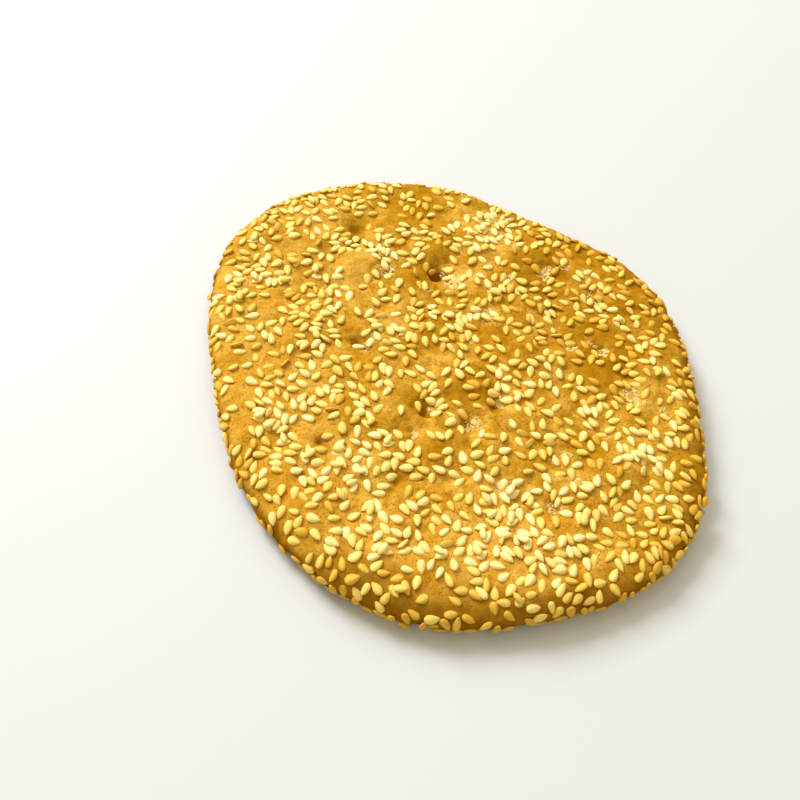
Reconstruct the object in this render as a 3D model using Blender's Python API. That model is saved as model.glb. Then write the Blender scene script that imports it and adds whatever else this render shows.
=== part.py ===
"""A thin round sesame biscuit lying flat, its blistered face up.

It is one baked solid: a low disc with an uneven round edge, a shoulder that rolls over
to the rim, blisters, hollows and torn pits on the shown face, a flat foot underneath,
and sesame seeds fused to the face and round the rim. Sizes below are in millimetres and
MM turns them into metres. +Z is up, and the origin is under the middle of the foot.
"""

import math

import bpy
import numpy as np
from mathutils import Vector
from mathutils.bvhtree import BVHTree

# ---- Driving dimensions ----
MM = 0.001

# The edge seen from above: a mean radius, and waves of so many lobes round it, each with
# its height and the direction in which it is highest, in degrees from +X towards +Y.
MEAN_RADIUS = 66.4
EDGE_LOBES = (
    (1, 1.85, 50.0),
    (2, 4.4, -42.0),
    (3, 2.2, 21.0),
    (4, 1.6, -38.0),
    (5, 0.7, -35.0),
    (6, 0.8, -26.0),
)

FACE_HEIGHT = 7.6  # the shown face over the foot, without blisters
DOME_RISE = 0.6
WAIST_HEIGHT = 3.5  # the rim's widest line over the foot
FOOT_INSET = 4.6  # how far the foot's edge lies inside the rim's widest line
SHOULDER_WIDTH = 6.4  # the rolled part of the face, which is widest in front
SHOULDER_SWING = 1.9
SHOULDER_FRONT = -75.0
CRISP_EDGE = 188.0  # the direction where the shoulder is crisp and narrow
CRISP_SPREAD = 15.0
CRISP_LOSS = 2.4
SHOULDER_POWER = 2.3

# Blisters: x, y, rise and spread.
BLISTERS = (
    (-29.5, 29.0, 1.62, 6.2),
    (-19.0, 46.5, 0.78, 5.0),
    (-8.5, 39.0, 0.98, 5.0),
    (1.5, 43.0, 0.65, 5.0),
    (20.5, 44.5, 0.91, 5.5),
    (30.0, 33.0, 0.72, 4.5),
    (43.0, 32.0, 0.65, 5.0),
    (50.5, 25.0, 0.59, 5.0),
    (53.0, 12.0, 0.59, 5.5),
    (37.0, 4.5, 0.91, 6.0),
    (20.0, 26.5, 0.98, 4.5),
    (18.5, 10.0, 1.04, 6.0),
    (5.0, -2.5, 1.10, 5.0),
    (-7.0, 11.0, 0.78, 5.5),
    (12.0, -21.0, 0.85, 4.6),
    (21.0, -13.0, 0.78, 5.0),
    (19.5, -26.5, 0.59, 4.0),
    (27.0, -42.0, 0.78, 6.5),
    (43.5, -22.5, 0.85, 6.5),
    (46.0, -8.5, 0.59, 5.0),
    (-1.5, -27.0, 0.72, 5.0),
    (-39.0, 5.0, 0.65, 7.5),
    (-44.0, -25.0, 0.65, 8.0),
    (-27.0, -46.0, 0.59, 6.5),
    (7.0, -49.5, 0.65, 6.5),
    (-24.0, -18.0, 0.52, 6.0),
)

# Hollows and torn pits in the crust: x, y, depth and spread.
HOLLOWS = (
    (-32.0, 41.5, 0.95, 3.6),
    (-7.0, 31.0, 2.10, 2.9),
    (-21.3, 28.6, 0.45, 2.4),
    (12.6, 33.0, 0.60, 2.4),
    (8.0, 18.2, 0.80, 2.5),
    (-24.6, 3.2, 1.30, 2.6),
    (4.0, 10.0, 0.70, 2.4),
    (-4.8, -13.0, 1.30, 2.6),
    (12.8, -8.4, 1.50, 2.6),
    (6.3, -15.6, 1.60, 2.7),
    (-6.9, -21.0, 1.00, 2.4),
    (-27.5, -27.6, 1.10, 2.4),
    (22.5, 37.6, 0.70, 2.6),
    (-8.8, -34.0, 0.90, 2.4),
    (16.0, -31.0, 0.70, 2.5),
    (30.6, 13.6, 0.70, 2.4),
    (39.6, 14.0, 1.00, 2.5),
    (47.8, 0.8, 0.75, 3.2),
    (36.8, 31.4, 0.60, 2.4),
    (29.0, -34.2, 0.70, 2.6),
    (33.0, -26.0, 0.60, 2.4),
    (-6.0, 21.0, 0.60, 3.6),
    (-42.0, 18.0, 0.50, 4.0),
    (0.5, -38.0, 0.45, 4.0),
)

# Gentle waves over the face: wavelength, height and direction in degrees.
WAVES = ((47.0, 0.22, 20.0), (33.0, 0.20, 95.0), (26.0, 0.14, 150.0), (21.0, 0.12, 62.0))

# The mesh: rings of the face inside the shoulder, rows over the shoulder and rows under
# the rim. Ring k has 6 k points.
FACE_RINGS = 17
SHOULDER_ROWS = 5
UNDER_ROWS = 3

# Seeds
SEED_COUNT = 240
SEED_DRAW = 417
LONGEST_SEED = 3.7
SHORTEST_SEED = 3.25
SEED_WIDTH_SHARE = 0.59
SEED_RISE = 0.72  # a seed's height over the skin
SEED_SINK = 0.14  # how far its widest outline lies under the skin
SEED_DEPTH = 0.5  # and how much further its belly reaches
SEED_SIDES = 6
SEED_ROWS = ((0.30, 0.74), (0.70, 0.96))  # along the seed, and its share of the width
SEED_GAP = 6.2  # between the middles of two seeds
SEED_FOOT_ROOM = 0.2  # kept free over the plane of the foot
LOWEST_BAND = 2.62
DRAWS = 9000

# Where seeds lie thick and where the crust is bare: x, y, spread and how strongly.
THICK_PLACES = (
    (6.0, 51.3, 6.0, 1.6),
    (-14.2, 9.0, 6.0, 0.7),
    (14.1, 31.1, 5.0, 0.9),
    (16.0, -39.4, 6.0, 0.9),
    (-50.7, 26.7, 13.0, 1.0),
    (-42.3, 46.2, 10.0, 0.8),
    (-58.9, 10.6, 8.0, 0.6),
    (28.4, 23.7, 6.0, 0.6),
    (45.0, -10.7, 6.0, 0.4),
    (-23.1, -35.6, 6.0, 0.4),
    (18.9, 1.8, 4.0, 0.6),
    (52.1, -31.1, 6.0, 0.3),
)
BARE_PLACES = (
    (-29.4, 29.6, 6.0, 0.97),
    (-21.5, 29.6, 3.0, 0.80),
    (2.3, -9.1, 4.0, 0.95),
    (11.6, -17.1, 4.2, 0.95),
    (-1.4, -25.0, 3.5, 0.90),
    (20.4, 42.3, 4.5, 0.90),
    (19.9, 27.0, 3.4, 0.90),
    (40.6, 17.6, 3.4, 0.85),
    (19.3, -24.9, 3.0, 0.85),
    (45.5, -23.7, 3.4, 0.85),
    (-46.4, -26.9, 5.5, 0.75),
    (47.8, 0.8, 3.0, 0.80),
    (-26.4, 7.9, 4.5, 0.70),
    (3.5, 25.0, 4.0, 0.70),
    (28.1, 30.7, 3.4, 0.70),
)

# Looks
CRUST_COLOUR = (0.60, 0.33, 0.085, 1.0)
CRUST_ROUGHNESS = 0.62


def clear_scene():
    """Removes whatever the scene starts with."""
    for thing in list(bpy.data.objects):
        bpy.data.objects.remove(thing, do_unlink=True)


def edge_radius(angle):
    """The edge's distance from the middle, at each angle."""
    radius = np.full_like(angle, MEAN_RADIUS)
    for lobes, height, towards in EDGE_LOBES:
        radius += height * np.cos(lobes * (angle - math.radians(towards)))
    return radius


def shoulder_width(angle):
    """How much of the face rolls over to the rim, at each angle."""
    swing = SHOULDER_SWING * np.cos(angle - math.radians(SHOULDER_FRONT))
    off = np.degrees(angle) - CRISP_EDGE
    off = (off + 180.0) % 360.0 - 180.0
    return SHOULDER_WIDTH + swing - CRISP_LOSS * np.exp(-((off / CRISP_SPREAD) ** 2))


def mounds(x, y, places):
    """The sum of round mounds, each given as x, y, height and spread."""
    total = np.zeros_like(x)
    for at_x, at_y, height, spread in places:
        total += height * np.exp(-((x - at_x) ** 2 + (y - at_y) ** 2) / spread**2)
    return total


def relief(x, y):
    """What blisters, hollows, waves and the dome add to the face's height."""
    total = mounds(x, y, BLISTERS) - mounds(x, y, HOLLOWS)
    for length, height, degrees in WAVES:
        along = x * math.cos(math.radians(degrees)) + y * math.sin(math.radians(degrees))
        total += height * np.sin(2.0 * math.pi * along / length)
    return total + DOME_RISE * (1.0 - (x**2 + y**2) / MEAN_RADIUS**2)


def skin(angle, band):
    """Points of the skin, as rows of x, y and z.

    band runs from 0 at the middle of the face to 1 where the shoulder starts, 2 on the
    rim's widest line and 3 at the foot's edge. The shoulder's section is a quarter of a
    superellipse, and the section under the rim is a quarter of an ellipse.
    """
    edge = edge_radius(angle)
    shoulder = shoulder_width(angle)
    roll = np.sin(np.clip(band - 1.0, 0.0, 1.0) * math.pi / 2.0)
    under = np.clip(band - 2.0, 0.0, 1.0) * math.pi / 2.0
    radius = np.clip(band, 0.0, 1.0) * (edge - shoulder) + shoulder * roll
    radius -= FOOT_INSET * (1.0 - np.cos(under))
    x = radius * np.cos(angle)
    y = radius * np.sin(angle)
    drop = (1.0 - roll**SHOULDER_POWER) ** (1.0 / SHOULDER_POWER)
    height = WAIST_HEIGHT + (FACE_HEIGHT - WAIST_HEIGHT + relief(x, y)) * drop
    height -= WAIST_HEIGHT * np.sin(under)
    return np.stack([x, y, height], axis=-1)


def ring_faces(rings):
    """Triangles of a disc whose ring k has 6 k points, and whose point 0 is its middle."""
    faces = []
    for ring in range(1, rings + 1):
        inner = 1 + 3 * (ring - 1) * (ring - 2)
        outer = 1 + 3 * ring * (ring - 1)
        inner_count = max(6 * (ring - 1), 1)
        for sector in range(6):
            for step in range(ring):
                a = outer + sector * ring + step
                b = outer + (sector * ring + step + 1) % (6 * ring)
                c = inner + (sector * (ring - 1) + step) % inner_count if ring > 1 else 0
                faces.append((a, b, c))
                if step < ring - 1:
                    d = inner + (sector * (ring - 1) + step + 1) % inner_count
                    faces.append((c, b, d))
    return faces


def row_faces(first, count, rows):
    """Triangles between rows of `count` points each, the first row starting at `first`."""
    faces = []
    for row in range(rows):
        for step in range(count):
            a = first + row * count + step
            b = first + row * count + (step + 1) % count
            c, d = a + count, b + count
            faces.append((a, c, b))
            faces.append((b, c, d))
    return faces


def biscuit_body():
    """The bare biscuit as one closed mesh, its foot one flat face."""
    angles = [np.zeros(1)]
    bands = [np.zeros(1)]
    for ring in range(1, FACE_RINGS + 1):
        angles.append(np.arange(6 * ring) * (2.0 * math.pi / (6 * ring)))
        bands.append(np.full(6 * ring, ring / FACE_RINGS))
    around = 6 * FACE_RINGS
    for rows, start in ((SHOULDER_ROWS, 1.0), (UNDER_ROWS, 2.0)):
        for row in range(1, rows + 1):
            angles.append(angles[FACE_RINGS])
            bands.append(np.full(around, start + row / rows))
    points = skin(np.concatenate(angles), np.concatenate(bands)) * MM
    rows = SHOULDER_ROWS + UNDER_ROWS
    last_face_ring = len(points) - around * (rows + 1)
    foot = range(len(points) - 1, len(points) - around - 1, -1)
    faces = ring_faces(FACE_RINGS) + row_faces(last_face_ring, around, rows)
    faces.append(tuple(foot))
    mesh = bpy.data.meshes.new("biscuit")
    mesh.from_pydata(points.tolist(), [], faces)
    mesh.update()
    body = bpy.data.objects.new("biscuit", mesh)
    bpy.context.scene.collection.objects.link(body)
    return body


def skin_frame(angle, band):
    """Points of the skin, the way down its section, outward normals and area per draw."""
    step = 1e-3
    along = skin(angle, band + step) - skin(angle, band - step)
    around = skin(angle + step, band) - skin(angle - step, band)
    normal = np.cross(along, around)
    area = np.linalg.norm(normal, axis=1)
    along /= np.linalg.norm(along, axis=1)[:, None]
    return skin(angle, band), along, normal / area[:, None], area


def seed_thickness_map(x, y):
    """How readily seeds lie at each place: about 1 on plain crust, 0 on bare crust."""
    share = np.ones_like(x)
    for at_x, at_y, spread, gain in THICK_PLACES:
        share += gain * np.exp(-((x - at_x) ** 2 + (y - at_y) ** 2) / spread**2)
    for at_x, at_y, spread, loss in BARE_PLACES:
        share *= 1.0 - loss * np.exp(-(((x - at_x) ** 2 + (y - at_y) ** 2) / spread**2))
    return share


def seed_places():
    """Where seeds lie, and three unit axes for each: its length, its width and its back.

    No two middles are closer than SEED_GAP, and each seed is turned its own way.
    """
    draw = np.random.default_rng(SEED_DRAW)
    angle = draw.uniform(0.0, 2.0 * math.pi, DRAWS)
    band = draw.uniform(0.02, LOWEST_BAND, DRAWS)
    points, along, normals, area = skin_frame(angle, band)
    share = area * seed_thickness_map(points[:, 0], points[:, 1])
    likely = share > draw.uniform(0.0, np.quantile(share, 0.98), DRAWS)
    chosen = []
    for index in np.flatnonzero(likely):
        gaps = np.linalg.norm(points[chosen] - points[index], axis=1)
        if len(chosen) == SEED_COUNT:
            break
        if not chosen or gaps.min() > SEED_GAP:
            chosen.append(index)
    points, along, normals = points[chosen], along[chosen], normals[chosen]
    turn = draw.uniform(0.0, 2.0 * math.pi, len(chosen))[:, None]
    across = np.cross(normals, along)
    lengthways = along * np.cos(turn) + across * np.sin(turn)
    widthways = across * np.cos(turn) - along * np.sin(turn)
    return points, np.stack([lengthways, widthways, normals], axis=1)


def seed_points(length):
    """A seed's points in its own frame, pointed at -X, blunt at +X, its back towards +Z."""
    width = length * SEED_WIDTH_SHARE
    points = [(-0.5 * length, 0.0, -SEED_SINK)]
    for along, share in SEED_ROWS:
        for side in range(SEED_SIDES):
            turn = 2.0 * math.pi * side / SEED_SIDES
            up = math.sin(turn)
            reach = SEED_RISE + SEED_SINK if up > 0.0 else SEED_DEPTH
            y = 0.5 * width * share * math.cos(turn)
            points.append(((along - 0.5) * length, y, reach * share * up - SEED_SINK))
    points.append((0.5 * length, 0.0, -SEED_SINK))
    return points


def seed_faces():
    """A seed's faces: a fan at each end and flat quads between its two rows."""
    last = 1 + 2 * SEED_SIDES
    faces = []
    for side in range(SEED_SIDES):
        after = (side + 1) % SEED_SIDES
        a, b = 1 + side, 1 + after
        c, d = a + SEED_SIDES, b + SEED_SIDES
        faces.append((0, b, a))
        faces.append((a, b, d, c))
        faces.append((c, d, last))
    return faces


def add_seeds(body):
    """Seeds lying flat on the skin, the longest first."""
    seeds = bpy.data.collections.new("seeds")
    bpy.context.scene.collection.children.link(seeds)
    tree = BVHTree.FromObject(body, bpy.context.evaluated_depsgraph_get())
    points, axes = seed_places()
    lengths = np.linspace(LONGEST_SEED, SHORTEST_SEED, len(points))
    for point, axis, length in zip(points, axes, lengths):
        ground = np.array(tree.find_nearest(Vector(point * MM))[0])
        corners = ground + np.array(seed_points(length)) @ axis * MM
        if corners[:, 2].min() < SEED_FOOT_ROOM * MM:
            continue
        mesh = bpy.data.meshes.new("seed")
        mesh.from_pydata(corners.tolist(), [], seed_faces())
        seeds.objects.link(bpy.data.objects.new("seed", mesh))
    return seeds


def fuse(body, seeds):
    """Joins the seeds to the body as one solid, then removes the loose ones."""
    join = body.modifiers.new("fuse seeds", "BOOLEAN")
    join.operation = "UNION"
    join.operand_type = "COLLECTION"
    join.collection = seeds
    join.solver = "EXACT"
    fused = bpy.data.meshes.new_from_object(
        body.evaluated_get(bpy.context.evaluated_depsgraph_get())
    )
    body.modifiers.clear()
    body.data = fused
    fused.name = "biscuit"
    for seed in list(seeds.objects):
        bpy.data.objects.remove(seed, do_unlink=True)
    bpy.data.collections.remove(seeds)


def bake_crust(body):
    """The golden crust's material, and smooth shading on the round faces."""
    crust = bpy.data.materials.new("baked_crust")
    crust.use_nodes = True
    surface = crust.node_tree.nodes["Principled BSDF"]
    surface.inputs["Base Color"].default_value = CRUST_COLOUR
    surface.inputs["Roughness"].default_value = CRUST_ROUGHNESS
    surface.inputs["Metallic"].default_value = 0.0
    body.data.materials.clear()
    body.data.materials.append(crust)
    body.data.shade_smooth()
    body.data.set_sharp_from_angle(angle=math.radians(40.0))


def main():
    clear_scene()
    body = biscuit_body()
    fuse(body, add_seeds(body))
    bake_crust(body)


main()
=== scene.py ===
"""A thin round sesame biscuit lying on a pale floor, dressed over its solid frame.

The crust is one closed surface with the solid's own edge, shoulder and relief and, over
them, lumps, creases, pits and torn places. Sesame seeds and flakes are joined meshes of
small drops. Sizes are in millimetres unless a docstring says metres, and MM turns them
into metres. X runs right and Y runs back in the picture, and the floor is at height 0.
"""

import logging
import math
from dataclasses import dataclass
from enum import Enum
from typing import NamedTuple

import bpy
import numpy as np
from mathutils import Matrix, Vector


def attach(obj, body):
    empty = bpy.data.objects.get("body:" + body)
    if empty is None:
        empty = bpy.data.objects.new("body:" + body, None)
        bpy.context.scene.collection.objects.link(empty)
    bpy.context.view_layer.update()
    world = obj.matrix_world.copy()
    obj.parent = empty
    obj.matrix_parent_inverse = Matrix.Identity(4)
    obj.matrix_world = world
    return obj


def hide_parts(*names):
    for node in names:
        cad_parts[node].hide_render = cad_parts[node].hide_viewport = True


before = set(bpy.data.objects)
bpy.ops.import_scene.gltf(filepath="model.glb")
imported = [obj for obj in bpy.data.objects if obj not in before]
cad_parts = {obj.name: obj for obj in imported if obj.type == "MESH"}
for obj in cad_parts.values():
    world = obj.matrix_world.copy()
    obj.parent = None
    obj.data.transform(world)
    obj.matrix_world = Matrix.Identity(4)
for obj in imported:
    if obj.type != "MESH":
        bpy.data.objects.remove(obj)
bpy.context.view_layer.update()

MM = 0.001
BODY = "root"
NODE = "biscuit"
# No seed or flake stands higher than this over the floor.
CEILING = 9.85

Array = np.ndarray
Colour = tuple[float, float, float]
Spot = tuple[float, float, float]
Span = tuple[float, float]
Places = tuple[tuple[float, float, float, float], ...]

log = logging.getLogger("sesame biscuit")


# ---------------------------------------------------------------- shader expressions


class Flow:
    """A value that flows from a shader socket, so that maths on it reads as Python."""

    def __init__(self, bench: "Bench", socket: bpy.types.NodeSocket) -> None:
        """Keeps the bench that makes the nodes and the socket the value comes from."""
        self.bench = bench
        self.socket = socket

    def _math(self, operation: str, *terms: object) -> "Flow":
        """Adds one Math node.

        Args:
            operation: the Math node's operation.
            terms: its inputs, as numbers or flows.

        Returns:
            The node's result.
        """
        inputs = dict(enumerate(terms))
        return self.bench.node("ShaderNodeMath", {"operation": operation}, inputs)

    def __add__(self, other: object) -> "Flow":
        """self + other."""
        return self._math("ADD", self, other)

    def __radd__(self, other: object) -> "Flow":
        """other + self."""
        return self._math("ADD", other, self)

    def __sub__(self, other: object) -> "Flow":
        """self - other."""
        return self._math("SUBTRACT", self, other)

    def __rsub__(self, other: object) -> "Flow":
        """other - self."""
        return self._math("SUBTRACT", other, self)

    def __mul__(self, other: object) -> "Flow":
        """self * other."""
        return self._math("MULTIPLY", self, other)

    def __rmul__(self, other: object) -> "Flow":
        """other * self."""
        return self._math("MULTIPLY", other, self)

    def clamped(self) -> "Flow":
        """The value kept between 0 and 1."""
        return self.bench.node("ShaderNodeClamp", {}, {"Value": self})

    def between(self, low: float, high: float) -> "Flow":
        """A smooth step of the value.

        Args:
            low: the value at which the step starts, at 0.
            high: the value at which it ends, at 1.

        Returns:
            The stepped value.
        """
        settings = {"interpolation_type": "SMOOTHSTEP"}
        inputs = {"Value": self, "From Min": low, "From Max": high}
        return self.bench.node("ShaderNodeMapRange", settings, inputs)

    def centred(self) -> "Flow":
        """The value less 0.5, which is the mean of a noise."""
        return self - 0.5


class Clouds(NamedTuple):
    """Cloudy noise: clouds to the metre, how many finer layers, and how strong they are."""

    scale: float
    detail: float = 3.0
    roughness: float = 0.55


class Bench:
    """Where one material's nodes are made."""

    def __init__(self, name: str) -> None:
        """Starts a material with an empty tree.

        Args:
            name: the material's name.
        """
        self.material = bpy.data.materials.new(name)
        self.material.use_nodes = True
        self.tree = self.material.node_tree
        self.tree.nodes.clear()

    def node(
        self, kind: str, settings: dict[str, object], inputs: dict[object, object], out: object = 0
    ) -> Flow | None:
        """Adds any node: its settings first, then its inputs.

        Args:
            kind: the node's type.
            settings: its properties; "stops" gives a colour ramp's places and colours.
            inputs: socket names or numbers, with plain values or flows.
            out: the output that is wanted, by name or number; None for a last node.

        Returns:
            The flow from that output.
        """
        made = self.tree.nodes.new(kind)
        for key, value in settings.items():
            if key == "stops":
                self._set_stops(made, value)
            else:
                setattr(made, key, value)
        for key, value in inputs.items():
            if isinstance(value, Flow):
                self.tree.links.new(value.socket, made.inputs[key])
            else:
                made.inputs[key].default_value = value
        return None if out is None else Flow(self, made.outputs[out])

    @staticmethod
    def _set_stops(ramp: bpy.types.Node, stops: tuple[tuple[float, Colour], ...]) -> None:
        """Sets a colour ramp's stops.

        Args:
            ramp: the ramp node.
            stops: each stop's place and colour.
        """
        elements = ramp.color_ramp.elements
        while len(elements) < len(stops):
            elements.new(1.0)
        for element, (place, colour) in zip(elements, stops):
            element.position = place
            element.color = (*colour, 1.0)

    def place(self) -> Flow:
        """Object coordinates, in metres."""
        return self.node("ShaderNodeTexCoord", {}, {}, "Object")

    def painted(self, name: str) -> Flow:
        """The number that the mesh carries under this name at each point."""
        return self.node("ShaderNodeAttribute", {"attribute_name": name}, {}, "Fac")

    def noise(self, clouds: Clouds) -> Flow:
        """Cloudy noise on Object coordinates.

        Args:
            clouds: its scale and layers.

        Returns:
            The noise, about 0.5 in the mean.
        """
        inputs = {name.capitalize(): value for name, value in clouds._asdict().items()}
        return self.node("ShaderNodeTexNoise", {}, {"Vector": self.place(), **inputs})

    def cells(self, scale: float) -> Flow:
        """The distance, in cells, to the nearest of scattered points.

        Args:
            scale: points to the metre.

        Returns:
            The distance.
        """
        inputs = {"Vector": self.place(), "Scale": scale}
        return self.node("ShaderNodeTexVoronoi", {}, inputs, "Distance")

    def mix(self, share: object, first: object, second: object) -> Flow:
        """A mix of two colours.

        Args:
            share: how much of the second, from 0 to 1.
            first: a colour or a flow.
            second: a colour or a flow.

        Returns:
            The mixed colour.
        """
        paints = [(*c, 1.0) if isinstance(c, tuple) else c for c in (first, second)]
        settings = {"data_type": "RGBA", "clamp_factor": True}
        inputs = {0: share, 6: paints[0], 7: paints[1]}
        return self.node("ShaderNodeMix", settings, inputs, 2)

    def bump(self, height: Flow, depth: float, strength: float, before: Flow | None = None) -> Flow:
        """A bumped normal.

        Args:
            height: the height, from 0 to 1.
            depth: what 1 stands for, in metres.
            strength: the bump's strength.
            before: a normal that it adds to.

        Returns:
            The normal.
        """
        inputs: dict[object, object] = {"Height": height, "Distance": depth, "Strength": strength}
        if before is not None:
            inputs["Normal"] = before
        return self.node("ShaderNodeBump", {}, inputs)

    def finish(self, inputs: dict[object, object]) -> bpy.types.Material:
        """Ends the material in a Principled shader.

        Args:
            inputs: the shader's inputs.

        Returns:
            The material.
        """
        shader = self.node("ShaderNodeBsdfPrincipled", {}, inputs)
        self.node("ShaderNodeOutputMaterial", {}, {"Surface": shader}, None)
        return self.material


# ---------------------------------------------------------------- fields over the skin


# A ripple's wavelengths are drawn between these multiples of its typical length.
WAVE_SPREAD: Span = (0.7, 1.45)


def ripples(points: Array, length: float, seed: int, waves: int) -> Array:
    """A random field over points in space, with mean 0 and spread 1.

    It is the sum of plane waves, cos(k . p + phase), whose directions and phases are drawn
    at random and whose lengths lie round `length`, each scaled by sqrt(2 / waves).

    Args:
        points: rows of x, y and z.
        length: the typical wavelength, in the points' unit.
        seed: the draw's seed.
        waves: how many waves are summed.

    Returns:
        One value for each point.
    """
    draw = np.random.default_rng(seed)
    ways = draw.normal(size=(waves, 3))
    ways /= np.linalg.norm(ways, axis=1)[:, None]
    lengths = length * draw.uniform(*WAVE_SPREAD, waves)
    turns = points @ (ways * (math.tau / lengths)[:, None]).T
    phases = draw.uniform(0.0, math.tau, waves)
    return np.cos(turns + phases).sum(axis=1) * math.sqrt(2.0 / waves)


@dataclass(frozen=True)
class Ripple:
    """One layer of ripples, with its height, typical length and seed."""

    height: float
    length: float
    seed: int
    waves: int = 48

    def over(self, points: Array) -> Array:
        """The layer's height at each point."""
        return self.height * ripples(points, self.length, self.seed, self.waves)


Layers = tuple[Ripple, ...]


def summed(points: Array, layers: Layers, start: float = 0.0) -> Array:
    """The start and every layer's height at each point, added up."""
    return sum((layer.over(points) for layer in layers), start)


def smooth_step(value: Array, start: float, end: float) -> Array:
    """0 at start, 1 at end and t^2 (3 - 2 t) between; the end may lie below the start."""
    share = np.clip((value - start) / (end - start), 0.0, 1.0)
    return share * share * (3.0 - 2.0 * share)


@dataclass(frozen=True)
class Ramp:
    """A smooth step from 0 at its start to an amount at its end."""

    start: float
    end: float
    amount: float = 1.0

    def at(self, value: Array) -> Array:
        """The ramp's height at each value."""
        return self.amount * smooth_step(value, self.start, self.end)


def mounds(x: Array, y: Array, places: Places) -> Array:
    """The sum of round mounds, height exp(-distance^2 / spread^2).

    Args:
        x: the points' x.
        y: their y.
        places: each mound's x, y, height and spread.

    Returns:
        The sum at each point.
    """
    total = np.zeros_like(x)
    for at_x, at_y, height, spread in places:
        total += height * np.exp(-((x - at_x) ** 2 + (y - at_y) ** 2) / spread**2)
    return total


# Each row is a mound's x, y, height and spread. Heights are in millimetres for blisters and
# hollows, and shares for how torn and how brown the crust is, which in places is painted
# shade of its relief; a negative one is paler.
BLISTERS: Places = (
    (-29.5, 29.0, 1.62, 6.2), (-19.0, 46.5, 0.78, 5.0), (-8.5, 39.0, 0.98, 5.0),
    (1.5, 43.0, 0.65, 5.0), (20.5, 44.5, 0.91, 5.5), (30.0, 33.0, 0.72, 4.5),
    (43.0, 32.0, 0.65, 5.0), (50.5, 25.0, 0.59, 5.0), (53.0, 12.0, 0.59, 5.5),
    (37.0, 4.5, 0.91, 6.0), (20.0, 26.5, 0.98, 4.5), (18.5, 10.0, 1.04, 6.0),
    (5.0, -2.5, 1.10, 5.0), (-7.0, 11.0, 0.78, 5.5), (12.0, -21.0, 0.85, 4.6),
    (21.0, -13.0, 0.78, 5.0), (19.5, -26.5, 0.59, 4.0), (27.0, -42.0, 0.78, 6.5),
    (43.5, -22.5, 0.85, 6.5), (46.0, -8.5, 0.59, 5.0), (-1.5, -27.0, 0.72, 5.0),
    (-39.0, 5.0, 0.65, 7.5), (-44.0, -25.0, 0.65, 8.0), (-27.0, -46.0, 0.59, 6.5),
    (7.0, -49.5, 0.65, 6.5), (-24.0, -18.0, 0.52, 6.0),
)
HOLLOWS: Places = (
    (-32.0, 41.5, 0.95, 3.6), (-7.0, 31.0, 2.10, 2.9), (-21.3, 28.6, 0.45, 2.4),
    (12.6, 33.0, 0.60, 2.4), (8.0, 18.2, 0.80, 2.5), (-24.6, 3.2, 1.30, 2.6),
    (4.0, 10.0, 0.70, 2.4), (-4.8, -13.0, 1.30, 2.6), (12.8, -8.4, 1.50, 2.6),
    (6.3, -15.6, 1.60, 2.7), (-6.9, -21.0, 1.00, 2.4), (-27.5, -27.6, 1.10, 2.4),
    (22.5, 37.6, 0.70, 2.6), (-8.8, -34.0, 0.90, 2.4), (16.0, -31.0, 0.70, 2.5),
    (30.6, 13.6, 0.70, 2.4), (39.6, 14.0, 1.00, 2.5), (47.8, 0.8, 0.75, 3.2),
    (36.8, 31.4, 0.60, 2.4), (29.0, -34.2, 0.70, 2.6), (33.0, -26.0, 0.60, 2.4),
    (-6.0, 21.0, 0.60, 3.6), (-42.0, 18.0, 0.50, 4.0), (0.5, -38.0, 0.45, 4.0),
)
TORN_PLACES: Places = (
    (-21.3, 29.2, 1.0, 2.6), (-5.2, 31.8, 1.0, 2.2), (12.6, 33.2, 1.0, 2.6), (8.0, 18.6, 1.0, 2.7),
    (-23.0, 1.6, 0.8, 1.8), (4.2, 10.2, 1.0, 2.3), (22.8, 38.2, 1.0, 2.8), (28.4, 41.6, 0.9, 1.8),
    (-3.6, -12.6, 0.7, 1.5), (13.4, -7.6, 0.9, 1.8), (7.4, -15.2, 1.0, 2.2),
    (-6.6, -20.6, 0.7, 1.5), (-26.8, -27.4, 0.7, 1.5), (16.0, -30.6, 1.0, 2.2),
    (30.8, 13.4, 1.0, 2.2), (39.6, 14.2, 1.0, 2.2), (35.4, 16.6, 0.8, 1.6), (47.8, 0.9, 1.0, 3.0),
    (56.0, -2.6, 0.9, 2.0), (36.7, 31.5, 1.0, 2.3), (31.0, -19.3, 0.8, 1.7),
    (33.2, -26.2, 0.8, 1.8), (28.7, -33.9, 0.9, 2.1), (39.5, -43.9, 0.7, 1.2),
    (21.0, 18.2, 0.7, 1.6), (-9.0, 24.5, 0.7, 1.6), (-2.2, 28.2, 1.0, 2.6),
)
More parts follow.
